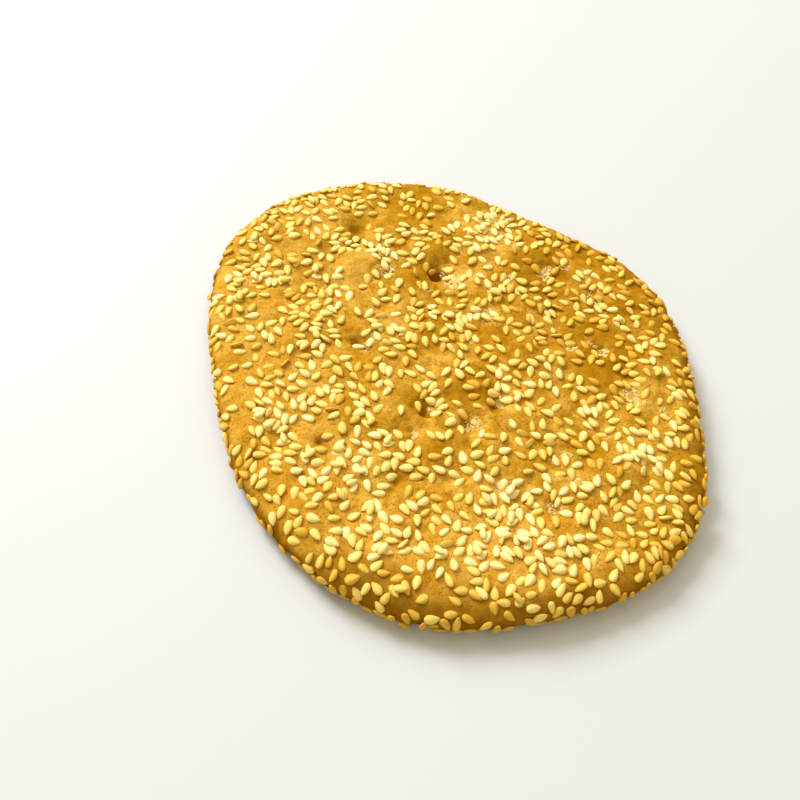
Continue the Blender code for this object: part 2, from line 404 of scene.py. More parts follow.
BROWNED_AND_SHADED_PLACES: Places = (
    (-8.0, 41.0, 0.22, 4.5), (21.5, 36.6, 0.90, 6.3), (33.0, 43.0, 0.20, 6.0),
    (29.4, 31.6, -0.20, 4.5), (39.6, 14.8, 1.35, 7.4), (31.5, 15.5, 0.35, 4.0),
    (35.5, 4.5, 0.25, 5.0), (52.0, 36.0, 0.15, 7.0), (9.8, 11.6, 0.60, 5.0),
    (62.0, -19.0, 0.40, 6.0), (-22.0, -24.2, 0.20, 4.0), (-29.0, -48.0, 0.20, 5.5),
    (2.0, -9.0, 0.30, 4.0), (8.0, -6.5, 0.60, 5.0), (-6.5, -11.5, 0.55, 4.5),
    (-11.0, 28.2, 0.75, 4.5), (18.5, -26.0, 0.30, 4.0), (34.6, -17.0, 0.35, 5.0),
    (45.0, -22.0, 0.20, 4.0), (39.8, -27.2, -0.35, 4.5), (19.6, 22.7, -0.30, 4.5),
    (-43.0, -36.0, 0.35, 6.5), (-52.0, 24.0, -0.25, 11.0), (47.4, -26.0, -0.20, 6.0),
    (54.0, 9.8, -0.30, 5.0), (-26.4, 5.4, 0.40, 3.8), (-49.3, 3.0, 0.20, 5.0),
    (-21.5, -3.0, 0.45, 5.0), (-21.5, 27.5, 0.30, 3.8), (-26.5, 46.5, 0.25, 4.5),
    (-32.0, 27.0, -0.20, 6.0), (-30.7, 43.5, 0.35, 4.5), (-27.8, -40.6, 0.20, 5.0),
    (0.0, -25.0, 0.42, 4.0), (-16.2, 53.8, 0.75, 7.5), (31.4, 51.6, 0.95, 6.0),
    (13.6, 37.4, 0.60, 5.0), (-47.5, 11.0, 0.35, 7.0), (-8.0, -36.4, 0.35, 3.6),
    (46.4, -35.6, 0.30, 4.5), (52.0, -41.0, 0.20, 5.0), (-27.7, -28.2, 0.40, 3.2),
    (30.6, -10.8, 0.30, 5.0), (45.2, -2.4, 0.25, 4.5), (57.6, 24.4, 0.58, 6.0),
    (44.8, 43.2, 0.50, 6.5), (36.5, -54.0, 0.35, 5.0), (-36.5, -45.5, 0.20, 6.0),
    (28.0, 38.0, 0.12, 18.0), (2.5, 29.5, -0.35, 4.0), (47.8, 0.8, -0.35, 4.5),
    (14.5, -48.0, -0.45, 10.0), (-42.0, -27.0, -0.10, 9.0), (16.8, -8.0, -0.40, 4.0),
    (-16.5, 9.0, -0.20, 5.0), (5.2, 49.6, -0.80, 6.5), (-26.0, 35.4, -0.50, 5.5),
    (-21.0, -34.0, -0.45, 7.5), (19.5, -31.8, -0.30, 4.5), (-9.2, -52.8, -0.45, 5.5),
    (36.8, -9.0, -0.30, 4.0), (4.2, -29.0, -0.30, 5.0), (-6.2, -6.0, -0.30, 4.0),
    (54.0, -15.0, -0.25, 9.0), (28.2, -51.0, -0.30, 7.0),
)


# ---------------------------------------------------------------- the skin's shape


# A band runs from 0 at the face's middle over these lines to the foot's middle.
SHOULDER = 1.0
RIM = 2.0
FOOT = 3.0
FOOT_MIDDLE = 4.0


@dataclass(frozen=True)
class Skin:
    """The solid's own skin as a function of an angle and a band, in millimetres.

    An edge lobe is how many times it goes round, its height and the angle that it points
    to, and a wave is its length, its height and its direction, with angles in degrees.
    """

    mean_radius: float = 66.4
    edge_lobes: tuple[tuple[int, float, float], ...] = (
        (1, 1.85, 50.0),
        (2, 4.4, -42.0),
        (3, 2.2, 21.0),
        (4, 1.6, -38.0),
        (5, 0.7, -35.0),
        (6, 0.8, -26.0),
    )
    face_height: float = 7.6
    dome_rise: float = 0.6
    waist_height: float = 3.5
    foot_inset: float = 4.6
    shoulder_width: float = 6.4
    shoulder_swing: float = 1.9
    shoulder_front: float = -75.0
    crisp_edge: float = 188.0
    crisp_spread: float = 15.0
    crisp_loss: float = 2.4
    shoulder_power: float = 2.3
    waves: tuple[tuple[float, float, float], ...] = (
        (47.0, 0.22, 20.0),
        (33.0, 0.20, 95.0),
        (26.0, 0.14, 150.0),
        (21.0, 0.12, 62.0),
    )

    def edge(self, angle: Array) -> Array:
        """The edge's radius: the mean and cosines of one to six lobes round it.

        Args:
            angle: round the biscuit, in radians.

        Returns:
            The radius at each angle.
        """
        radius = np.full_like(angle, self.mean_radius)
        for lobes, height, towards in self.edge_lobes:
            radius += height * np.cos(lobes * (angle - math.radians(towards)))
        return radius

    def shoulder(self, angle: Array) -> Array:
        """The shoulder's width: widest in front, narrow where the edge is crisp.

        Args:
            angle: round the biscuit, in radians.

        Returns:
            The width at each angle.
        """
        swing = self.shoulder_swing * np.cos(angle - math.radians(self.shoulder_front))
        off = (np.degrees(angle) - self.crisp_edge + 180.0) % 360.0 - 180.0
        loss = self.crisp_loss * np.exp(-((off / self.crisp_spread) ** 2))
        return self.shoulder_width + swing - loss

    def relief(self, x: Array, y: Array) -> Array:
        """The face's large relief: blisters less hollows, long sine waves and a dome.

        The dome's height is (1 - r^2 / R^2) of its rise.

        Args:
            x: the points' x.
            y: their y.

        Returns:
            The height at each point.
        """
        total = mounds(x, y, BLISTERS) - mounds(x, y, HOLLOWS)
        for length, height, degrees in self.waves:
            way = math.radians(degrees)
            along = x * math.cos(way) + y * math.sin(way)
            total += height * np.sin(math.tau * along / length)
        return total + self.dome_rise * (1.0 - (x**2 + y**2) / self.mean_radius**2)

    def form(self, angle: Array, band: Array) -> Array:
        """The skin's points.

        The shoulder's section is a quarter of a superellipse, the section under the rim a
        quarter of an ellipse, and the foot is flat.

        Args:
            angle: round the biscuit, in radians.
            band: from the face's middle, 0, to the foot's middle, 4.

        Returns:
            Rows of x, y and z.
        """
        edge, shoulder = self.edge(angle), self.shoulder(angle)
        roll = np.sin(np.clip(band - SHOULDER, 0.0, 1.0) * math.pi / 2.0)
        under = np.clip(band - RIM, 0.0, 1.0) * math.pi / 2.0
        radius = np.clip(band, 0.0, 1.0) * (edge - shoulder) + shoulder * roll
        radius -= self.foot_inset * (1.0 - np.cos(under))
        radius *= 1.0 - np.clip(band - FOOT, 0.0, 1.0)
        x, y = radius * np.cos(angle), radius * np.sin(angle)
        drop = (1.0 - roll**self.shoulder_power) ** (1.0 / self.shoulder_power)
        rise = self.face_height - self.waist_height + self.relief(x, y)
        height = self.waist_height + rise * drop
        height -= self.waist_height * np.sin(under)
        return np.stack([x, y, height], axis=-1)

    def axes(self, angle: Array, band: Array) -> tuple[Array, Array, Array, Array]:
        """The skin's points with the directions along it.

        Args:
            angle: round the biscuit, in radians.
            band: as in form().

        Returns:
            Points, unit directions down the section, unit outward normals, and the area
            that a small step of angle and band covers.
        """
        step = 1e-3
        along = self.form(angle, band + step) - self.form(angle, band - step)
        around = self.form(angle + step, band) - self.form(angle - step, band)
        normal = np.cross(along, around)
        area = np.linalg.norm(normal, axis=1)
        along /= np.linalg.norm(along, axis=1)[:, None]
        return self.form(angle, band), along, normal / area[:, None], area


@dataclass(frozen=True)
class RoughSkin(Skin):
    """The skin with its fine relief: lumps, creases, pits and torn places."""

    torn_gain: float = 1.05
    torn_breaks: Layers = (Ripple(0.20, 3.0, 71), Ripple(0.15, 1.2, 72))
    torn_near: Ramp = Ramp(0.05, 0.4)
    torn_edge: Ramp = Ramp(0.42, 0.78)
    torn_height: Ramp = Ramp(5.0, 6.5)
    core_wander: Layers = (Ripple(0.55, 4.0, 41), Ripple(0.55, 4.0, 42))
    core_front: float = 0.9
    core_least: float = 0.5
    core_gain: float = 1.3
    core_share: float = 0.48
    core_depth: float = 0.9
    lumps: Layers = (Ripple(0.19, 9.0, 31), Ripple(0.08, 4.2, 32))
    lump_range: Span = (-0.4, 0.28)
    dimples: Ripple = Ripple(0.042, 1.8, 33, 64)
    crags: Ripple = Ripple(0.12, 1.3, 34, 64)
    crag_depth: float = 0.26
    crease_height: Ramp = Ramp(4.5, 6.5)
    moat_wander: float = 4.2
    moat_radius: float = 1.15
    moat_width: float = 0.30
    moat_depth: float = 0.34
    moat_most: float = 1.6
    fold_lines: Ripple = Ripple(1.0, 6.0, 37)
    fold_width: float = 0.22
    fold_grain: Ripple = Ripple(0.25, 2.6, 38)
    fold_reach: float = 2.1
    fold_depth: float = 0.24
    foot_dips: Layers = (Ripple(0.05, 6.0, 35), Ripple(0.03, 1.9, 36))
    foot_sink: float = -0.22
    foot_least: float = -0.05

    def torn(self, points: Array) -> Array:
        """How torn the crust is: patches whose outlines ripples of 3 and 1.2 mm break.

        Args:
            points: points of the form.

        Returns:
            At each point, from 0 where it is whole to 1 where it is torn.
        """
        patch = self.torn_gain * mounds(points[:, 0], points[:, 1], TORN_PLACES)
        broken = summed(points, self.torn_breaks) * self.torn_near.at(patch)
        return self.torn_edge.at(patch + broken) * self.torn_height.at(points[:, 2])

    def pitted(self, points: Array) -> Array:
        """How deep the hollows' cores are, before their scale.

        Each hollow deeper than core_least has one: a mound under half as wide, a little in
        front of the hollow's middle, which ripples make crooked.

        Args:
            points: points of the form.

        Returns:
            The sum of the cores.
        """
        cores = [
            (x, y, self.core_gain * max(depth - self.core_least, 0.0), self.core_share * spread)
            for x, y, depth, spread in HOLLOWS
        ]
        aside, ahead = (wander.over(points) for wander in self.core_wander)
        return mounds(points[:, 0] + aside, points[:, 1] + ahead + self.core_front, cores)

    def _moats(self, x: Array, y: Array, lumps: Array) -> Array:
        """How deep the moats round the blisters are, before their scale.

        Each is a ring, rise exp(-((distance - radius) / width)^2), whose radius and width
        are shares of the blister's spread, and the lumps push its distance to and fro.

        Args:
            x: the points' x.
            y: their y.
            lumps: the lumps' height at each.

        Returns:
            The sum of the rings, up to its most.
        """
        moats = np.zeros_like(x)
        for at_x, at_y, rise, spread in BLISTERS:
            off = np.hypot(x - at_x, y - at_y) + self.moat_wander * lumps
            ring = (off - self.moat_radius * spread) / (self.moat_width * spread)
            moats += rise * np.exp(-(ring**2))
        return np.clip(moats, 0.0, self.moat_most)

    def _folds(self, points: Array) -> Array:
        """How deep the folds near the hollows are, in millimetres.

        They are narrow valleys along the zero lines of a ripple, exp(-(ripple / width)^2),
        less a finer ripple.

        Args:
            points: points of the form.

        Returns:
            The depth at each point.
        """
        x, y = points[:, 0], points[:, 1]
        wider = [(at_x, at_y, 1.0, self.fold_reach * spread) for at_x, at_y, _, spread in HOLLOWS]
        near = self.fold_depth * np.clip(mounds(x, y, wider), 0.0, 1.0)
        valleys = np.exp(-((self.fold_lines.over(points) / self.fold_width) ** 2))
        return near * (valleys - self.fold_grain.over(points))

    def fine(self, points: Array, torn: Array, foot: Array) -> Array:
        """How far the baked skin stands over its form.

        Lumps of 9 and 4 mm and dimples of 1.8 mm, less the face's moats, cores and folds, and
        in torn places a sunk floor with crags. The foot only dips inwards.

        Args:
            points: points of the form.
            torn: how torn the crust is there.
            foot: 1 on the foot, 0 elsewhere.

        Returns:
            The height along the outward normal.
        """
        x, y = points[:, 0], points[:, 1]
        lumps = summed(points, self.lumps)
        crags = torn * (self.crags.over(points) - self.crag_depth)
        moats = self.moat_depth * self._moats(x, y, lumps)
        cores = self.core_depth * self.pitted(points)
        creases = -self.crease_height.at(points[:, 2]) * (moats + cores + self._folds(points))
        free = np.clip(lumps, *self.lump_range) + self.dimples.over(points) + crags + creases
        dip = summed(points, self.foot_dips, self.foot_sink)
        return free * (1.0 - foot) + np.minimum(dip, self.foot_least) * foot


@dataclass(frozen=True)
class BakedAndShadedSkin(RoughSkin):
    """The skin as the oven coloured it, with painted shade, in fields of 0 to 1 that the finishes
    read.
    """

    brown_mean: float = 0.36
    brown_blister: float = 0.16
    brown_clouds: Layers = (Ripple(0.12, 15.0, 51), Ripple(0.10, 4.5, 52))
    brown_way: Span = (0.8, 0.5)
    brown_corner: Ramp = Ramp(0.0, 50.0, 0.09)
    pale_left: Ramp = Ramp(-5.0, -55.0, 0.24)
    pale_left_back: Ramp = Ramp(30.0, -5.0)
    pale_side: Ramp = Ramp(-5.0, -55.0, 0.04)
    pale_front: Ramp = Ramp(-30.0, -58.0, 0.12)
    # Painted shade on the edge where it turns away from the lamps: the rim, the front shoulder and a
    # band on the right.
    edge_wander: Ripple = Ripple(1.2, 9.0, 54)
    edge_near: Ramp = Ramp(1.5, 14.0)
    edge_left: Ramp = Ramp(-12.0, -32.0)
    edge_right: Ramp = Ramp(2.0, 30.0)
    edge_narrowing: Span = (0.6, 0.35)
    front: Ramp = Ramp(-10.0, -45.0)
    front_left_loss: float = 0.70
    front_right_loss: Ramp = Ramp(34.0, 52.0, 0.6)
    front_share: float = 0.9
    side: Ramp = Ramp(42.0, 58.0, 0.75)
    side_near: Ramp = Ramp(2.0, 8.0)
    rim_height: Ramp = Ramp(7.2, 4.2)
    porous_left: Ramp = Ramp(-18.0, -40.0)
    porous_left_back: Ramp = Ramp(8.0, -12.0)
    porous_front: Ramp = Ramp(-22.0, -42.0, 0.5)
    halo: Ramp = Ramp(0.1, 0.8)
    # Painted shade in the hollows and their cores, set a little in front of their middles.
    deep_wander: Ripple = Ripple(0.8, 5.0, 43)
    deep_front: float = 1.2
    deep_wide: Ramp = Ramp(0.40, 1.3, 0.50)
    deep_core: Ramp = Ramp(0.1, 0.7, 0.75)
    # Painted shade on the skin below the rim, less of it on the foot.
    under_height: Ramp = Ramp(3.7, 1.8)
    under_foot_loss: float = 0.6

    def browned(self, points: Array) -> Array:
        """How brown the crust is, in places with the painted shade of its relief: more on
        blisters, less on the left and in front.

        Args:
            points: points of the form.

        Returns:
            From 0, pale, to 1, brown.
        """
        x, y = points[:, 0], points[:, 1]
        brown = self.brown_mean + self.brown_blister * mounds(x, y, BLISTERS)
        brown = brown + mounds(x, y, BROWNED_AND_SHADED_PLACES)
        brown += summed(points, self.brown_clouds)
        brown += self.brown_corner.at(self.brown_way[0] * x + self.brown_way[1] * y)
        brown -= self.pale_left.at(x) * self.pale_left_back.at(y)
        brown -= self.pale_side.at(x) + self.pale_front.at(y)
        return np.clip(brown, 0.0, 1.0)

    def edged(self, points: Array) -> Array:
        """Painted shade on the edge: the rim, the front shoulder and a band on the right.

        Both bands fade with the distance inwards from the edge, which a ripple makes
        uneven. The front one is narrower and weaker to both sides.

        Args:
            points: points of the form.

        Returns:
            From 0 to 1.
        """
        x, y = points[:, 0], points[:, 1]
        inwards = self.edge(np.arctan2(y, x)) - np.hypot(x, y)
        uneven = inwards + self.edge_wander.over(points)
        left, right = self.edge_left.at(x), self.edge_right.at(x)
        front = self.front.at(y) * (1.0 - self.front_left_loss * left)
        front = front * (1.0 - self.front_right_loss.at(x))
        width = 1.0 - self.edge_narrowing[0] * left - self.edge_narrowing[1] * right
        near = 1.0 - self.edge_near.at(uneven / width)
        side = self.side.at(x) * (1.0 - self.side_near.at(uneven))
        rim = self.rim_height.at(points[:, 2])
        return np.maximum(np.maximum(rim, side), self.front_share * near * front)

    def paints(self, points: Array, torn: Array, foot: Array) -> dict[str, Array]:
        """What the crust's finish reads on the mesh.

        Args:
            points: points of the form.
            torn: how torn the crust is there.
            foot: 1 on the foot, 0 elsewhere.

        Returns:
            By name: browned, how brown the face is, with its relief's painted shade in places;
            low, the painted shade on the edge; torn, and halo for the floury crust round it; deep,
            the painted shade in the pits; porous where pores show; and under, the painted shade
            below the rim.
        """
        x, y, height = points.T
        left = self.porous_left.at(x) * self.porous_left_back.at(y)
        away = self.deep_wander.over(points)
        wide = self.deep_wide.at(mounds(x + away, y + self.deep_front - away, HOLLOWS))
        return {
            "browned": self.browned(points),
            "torn": torn,
            "porous": np.maximum(left, self.porous_front.at(y)),
            "halo": self.halo.at(mounds(x, y, TORN_PLACES)),
            "deep": wide + self.deep_core.at(self.pitted(points)),
            "low": self.edged(points),
            "under": self.under_height.at(height) * (1.0 - self.under_foot_loss * foot),
        }


# ---------------------------------------------------------------- meshes from arrays


def grid_quads(rows: int, columns: int) -> Array:
    """Quads of a grid of points, row by row, turned anticlockwise from above."""
    corner = (np.arange(rows - 1)[:, None] * columns + np.arange(columns - 1)).reshape(-1)
    return np.stack([corner, corner + 1, corner + columns + 1, corner + columns], axis=1)


def grid_border(size: int) -> Array:
    """The border of a square grid of points, anticlockwise from its first corner.

    Args:
        size: points along a side.

    Returns:
        The border points' numbers.
    """
    near = np.arange(size - 1)
    right = near * size + size - 1
    far = size * size - 1 - near
    left = (size - 1 - near) * size
    return np.concatenate([near, right, far, left])


def disc_grid(size: int) -> tuple[Array, Array]:
    """A square grid pressed into a disc, so that its cells stay nearly even.

    Where |a| > |b| the radius is a and the angle is (pi / 4) b / a; elsewhere the radius
    is b and the angle is pi / 2 - (pi / 4) a / b.

    Args:
        size: points along a side; a and b run from -1 to 1.

    Returns:
        The angle and the radius, 0 to 1, of each point.
    """
    line = np.linspace(-1.0, 1.0, size)
    b, a = (axis.reshape(-1) for axis in np.meshgrid(line, line, indexing="ij"))
    wide = np.abs(a) > np.abs(b)
    radius = np.where(wide, a, b)
    part = np.where(wide, b, a) / np.where(radius == 0.0, 1.0, radius)
    angle = np.where(wide, part * math.pi / 4.0, math.pi / 2.0 - part * math.pi / 4.0)
    return angle + np.where(radius < 0.0, math.pi, 0.0), np.abs(radius)


def mesh_piece(name: str, points: Array, quads: Array, triangles: Array) -> bpy.types.Object:
    """A smooth mesh object from arrays.

    Args:
        name: the object's name.
        points: rows of x, y and z, in millimetres.
        quads: rows of four corners.
        triangles: rows of three corners.

    Returns:
        The object, linked to the scene.
    """
    mesh = bpy.data.meshes.new(name)
    corners = np.concatenate([quads.reshape(-1), triangles.reshape(-1)]).astype(np.int32)
    counts = np.concatenate([np.full(len(quads), 4), np.full(len(triangles), 3)])
    starts = np.concatenate([[0], np.cumsum(counts)[:-1]]).astype(np.int32)
    mesh.vertices.add(len(points))
    mesh.loops.add(len(corners))
    mesh.polygons.add(len(counts))
    mesh.vertices.foreach_set("co", (points * MM).astype(np.float32).reshape(-1))
    mesh.loops.foreach_set("vertex_index", corners)
    mesh.polygons.foreach_set("loop_start", starts)
    mesh.update(calc_edges=True)
    mesh.validate()
    mesh.shade_smooth()
    made = bpy.data.objects.new(name, mesh)
    bpy.context.scene.collection.objects.link(made)
    return made


def paint(piece: bpy.types.Object, name: str, values: Array) -> None:
    """Gives a mesh a number at each point.

    Args:
        piece: the mesh object.
        name: the attribute's name.
        values: one number for each point.
    """
    attribute = piece.data.attributes.new(name, "FLOAT", "POINT")
    attribute.data.foreach_set("value", values.astype(np.float32))


class Dressed:
    """What the biscuit's pieces share: each class builds its mesh, and its finish goes on it."""

    piece: bpy.types.Object
    finish: "CrustFinish | SeedFinish | FlakeFinish"

    def dress(self) -> None:
        """Puts the finish on the piece, hangs it on the body and hides the solid that it stands for.
        """
        self.piece.data.materials.append(self.finish.material())
        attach(self.piece, BODY)
        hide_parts(NODE)


# ---------------------------------------------------------------- finishes


@dataclass(frozen=True)
class CrustFinish:
    """Baked dough: golden tan, browner on its blisters, pale where torn, with painted shade on
    the edge, under the rim, in the pits and in the cracks.

    A band is where a mask rises from 0 to 1, a share is how much of a colour is mixed in,
    and a bump is its depth, in metres, and its strength.
    """

    tan: Colour = (0.69, 0.398, 0.063)
    gold: Colour = (0.47, 0.232, 0.015)
    brown: Colour = (0.32, 0.135, 0.001)
    # rim is the colour of the painted shade on the edge and in the cracks.
    rim: Colour = (0.26, 0.112, 0.004)
    burnt: Colour = (0.10, 0.036, 0.0005)
    crumb: Colour = (0.93, 0.71, 0.30)
    flour: Colour = (0.82, 0.49, 0.085)
    olive: Colour = (0.43, 0.225, 0.015)
    ruddy: Colour = (0.62, 0.280, 0.016)
    cloud: Clouds = Clouds(260.0, 4.0, 0.6)
    mottle: Clouds = Clouds(1100.0, 4.0, 0.7)
    grain: Clouds = Clouds(2600.0, 4.0, 0.65)
    spot_gains: tuple[float, float, float] = (1.1, 1.6, 1.0)
    brown_share: float = 0.8
    tint: Clouds = Clouds(150.0, 3.0, 0.6)
    olive_band: Span = (0.50, 0.66)
    olive_share: float = 0.45
    ruddy_band: Span = (0.34, 0.48)
    ruddy_share: float = 0.5
    ruddy_pores: float = 0.34
    dust: Clouds = Clouds(2400.0, 3.0, 0.65)
    dust_band: Span = (0.50, 0.64)
    dust_patches: Clouds = Clouds(340.0, 2.0)
    dust_patch_band: Span = (0.38, 0.60)
    flour_share: float = 0.45
    halo_toast: float = 0.3
    halo_dust: float = 0.4
    rim_cloud: float = 0.5
    burnt_share: float = 0.8
    # Painted shade in the pits: how far its mottle moves it and how much of it is mixed in.
    deep_mottle: float = 0.4
    deep_share: float = 0.9
    pore_scale: float = 1250.0
    pore_band: Span = (0.10, 0.34)
    pore_patches: Clouds = Clouds(420.0, 2.0)
    pore_patch_band: Span = (0.34, 0.54)
    porous_patches: float = 0.7
    pore_share: float = 0.55
    porous_share: float = 0.35
    flecks: Clouds = Clouds(1450.0, 4.0, 0.62)
    fleck_band: Span = (0.36, 0.56)
    crumb_band: Span = (0.25, 0.9)
    crumb_share: float = 0.9
    # The crack bands place the painted shade in the torn places.
    crack_band: Span = (0.28, 0.38)
    cracked_band: Span = (0.4, 0.95)
    crack_share: float = 0.85
    grain_bump: Span = (0.00022, 0.55)
    pore_bump: Span = (0.00018, 0.5)
    fleck_bump: Span = (0.0006, 0.7)
    roughness: float = 0.55
    torn_roughness: float = 0.85
    grain_roughness: float = 0.25
    specular: float = 0.0

    def _dough(self, bench: Bench, toast: Flow, halo: Flow, porous: Flow) -> Flow:
        """The plain crust's colour: tan to brown as it is toasted, tinted and dusted.

        Args:
            bench: where the nodes are made.
            toast: how toasted the crust is, with the painted shade of its relief in places.
            halo: how floury it is.
            porous: how porous it is.

        Returns:
            The colour.
        """
        colour = bench.mix((toast * 2.0).clamped(), self.tan, self.gold)
        browner = (toast * 2.0 - 1.0).clamped() * self.brown_share
        colour = bench.mix(browner, colour, self.brown)
        tint = bench.noise(self.tint)
        colour = bench.mix(tint.between(*self.olive_band) * self.olive_share, colour, self.olive)
        ruddy = (1.0 - tint.between(*self.ruddy_band)) * self.ruddy_share
        colour = bench.mix((ruddy + porous * self.ruddy_pores).clamped(), colour, self.ruddy)
        dust = bench.noise(self.dust).between(*self.dust_band)
        dust = dust * bench.noise(self.dust_patches).between(*self.dust_patch_band)
        dust = (dust + halo * self.halo_dust).clamped() * (1.0 - toast) * self.flour_share
        return bench.mix(dust, colour, self.flour)

    def material(self) -> bpy.types.Material:
        """Builds the crust's material from what is painted on the mesh and fine noise."""
        bench = Bench("baked_crust")
        torn, halo, porous = (bench.painted(name) for name in ("torn", "halo", "porous"))
        cloud, mottle = bench.noise(self.cloud), bench.noise(self.mottle)
        grain, flecks = bench.noise(self.grain), bench.noise(self.flecks)
        layers = zip((cloud, mottle, grain), self.spot_gains)
        clouds, mottles, grains = (layer.centred() * gain for layer, gain in layers)
        # toast carries the browning and, in places, the painted shade of the relief.
        toast = bench.painted("browned") + (clouds + mottles + grains) - halo * self.halo_toast
        colour = self._dough(bench, toast.clamped(), halo, porous)
        # Painted shade: low on the edge, under below the rim, and deep in the pits.
        low = bench.painted("low") + cloud.centred() * self.rim_cloud
        colour = bench.mix(low.clamped(), colour, self.rim)
        colour = bench.mix(bench.painted("under") * self.burnt_share, colour, self.burnt)
        deep = bench.painted("deep") + mottle.centred() * self.deep_mottle
        colour = bench.mix(deep.clamped() * self.deep_share, colour, self.brown)
        pores = 1.0 - bench.cells(self.pore_scale).between(*self.pore_band)
        patches = bench.noise(self.pore_patches).between(*self.pore_patch_band)
        specks = pores * (patches + porous * self.porous_patches).clamped()
        specks = specks * (self.pore_share + porous * self.porous_share)
        colour = bench.mix(specks, colour, self.brown)
        shreds = torn.between(*self.crumb_band) * flecks.between(*self.fleck_band)
        colour = bench.mix(shreds * self.crumb_share, colour, self.crumb)
        # Painted shade in the cracks between the torn shreds.
        cracks = torn.between(*self.cracked_band) * (1.0 - flecks.between(*self.crack_band))
        colour = bench.mix(cracks * self.crack_share, colour, self.rim)
        normal = bench.bump(grain, *self.grain_bump)
        normal = bench.bump(1.0 - pores, *self.pore_bump, normal)
        normal = bench.bump(torn * flecks, *self.fleck_bump, normal)
        rough = self.roughness + torn * (self.torn_roughness - self.roughness)
        return bench.finish(
            {
                "Base Color": colour,
                "Roughness": rough + grain.centred() * self.grain_roughness,
                "Normal": normal,
                "Specular IOR Level": self.specular,
            }
        )


@dataclass(frozen=True)
class SeedFinish:
    """Hulled sesame: ivory yellow, more golden to the edge and tip, some toasted. The golden
    edge is partly their own colour and partly a painted glow of light through the thin edge.

    A bump is its depth, in metres, and its strength.
    """

    cream: Colour = (0.95, 0.82, 0.46)
    ivory: Colour = (0.91, 0.725, 0.28)
    straw: Colour = (0.89, 0.655, 0.165)
    toasted: Colour = (0.69, 0.39, 0.035)
    ripeness: tuple[float, ...] = (0.0, 0.2, 0.55, 1.0)
    grain: Clouds = Clouds(1900.0, 3.0, 0.6)
    grain_gain: float = 0.4
    rim_gain: float = 0.62
    wrinkles: Clouds = Clouds(3200.0, 2.0)
    wrinkle_bump: Span = (0.00011, 0.5)
    roughness: float = 0.40
    grain_roughness: float = 0.2
    specular: float = 0.12

    def material(self) -> bpy.types.Material:
        """Builds the seeds' material from each seed's tone and fine noise."""
        bench = Bench("sesame_seed")
        grain = bench.noise(self.grain)
        ripe = bench.painted("tone") + grain.centred() * self.grain_gain
        # rim: the golden edge, partly the seed's own colour and partly painted glow of light through
        # it.
        ripe = (ripe + bench.painted("rim") * self.rim_gain).clamped()
        stops = tuple(zip(self.ripeness, (self.cream, self.ivory, self.straw, self.toasted)))
        return bench.finish(
            {
                "Base Color": bench.node("ShaderNodeValToRGB", {"stops": stops}, {"Fac": ripe}),
                "Roughness": self.roughness + grain.centred() * self.grain_roughness,
                "Normal": bench.bump(bench.noise(self.wrinkles), *self.wrinkle_bump),
                "Specular IOR Level": self.specular,
            }
        )


@dataclass(frozen=True)
class FlakeFinish:
    """Torn crumb: cream, some of it baked darker.

    A bump is its depth, in metres, and its strength.
    """

    cream: Colour = (0.92, 0.70, 0.32)
    baked: Colour = (0.66, 0.38, 0.06)
    tone_gain: float = 1.3
    tone_loss: float = 0.45
    grain: Clouds = Clouds(2600.0, 3.0, 0.6)
    grain_gain: float = 0.8
    grain_bump: Span = (0.00012, 0.6)
    roughness: float = 0.8
    specular: float = 0.15

    def material(self) -> bpy.types.Material:
        """Builds the flakes' material from each flake's tone and fine noise."""
        bench = Bench("torn_crumb")
        grain = bench.noise(self.grain)
        tone = bench.painted("tone") * self.tone_gain - self.tone_loss
        baked = (tone + grain.centred() * self.grain_gain).clamped()
        return bench.finish(
            {
                "Base Color": bench.mix(baked, self.cream, self.baked),
                "Roughness": self.roughness,
                "Normal": bench.bump(grain, *self.grain_bump),
                "Specular IOR Level": self.specular,
            }
        )


@dataclass(frozen=True)
class FloorFinish:
    """A plain pale floor with the faintest of mottle."""

    pale: Colour = (0.645, 0.66, 0.71)
    paler: Colour = (0.605, 0.62, 0.67)
    mottle: Clouds = Clouds(9.0, 2.0)
    mottle_band: Span = (0.2, 0.8)
    mottle_share: float = 0.02
    roughness: float = 0.6

    def material(self) -> bpy.types.Material:
        """Builds the floor's material."""
        bench = Bench("pale_floor")
        share = bench.noise(self.mottle).between(*self.mottle_band) * self.mottle_share
        colour = bench.mix(share, self.pale, self.paler)
        return bench.finish({"Base Color": colour, "Roughness": self.roughness})


# ---------------------------------------------------------------- the biscuit's crust


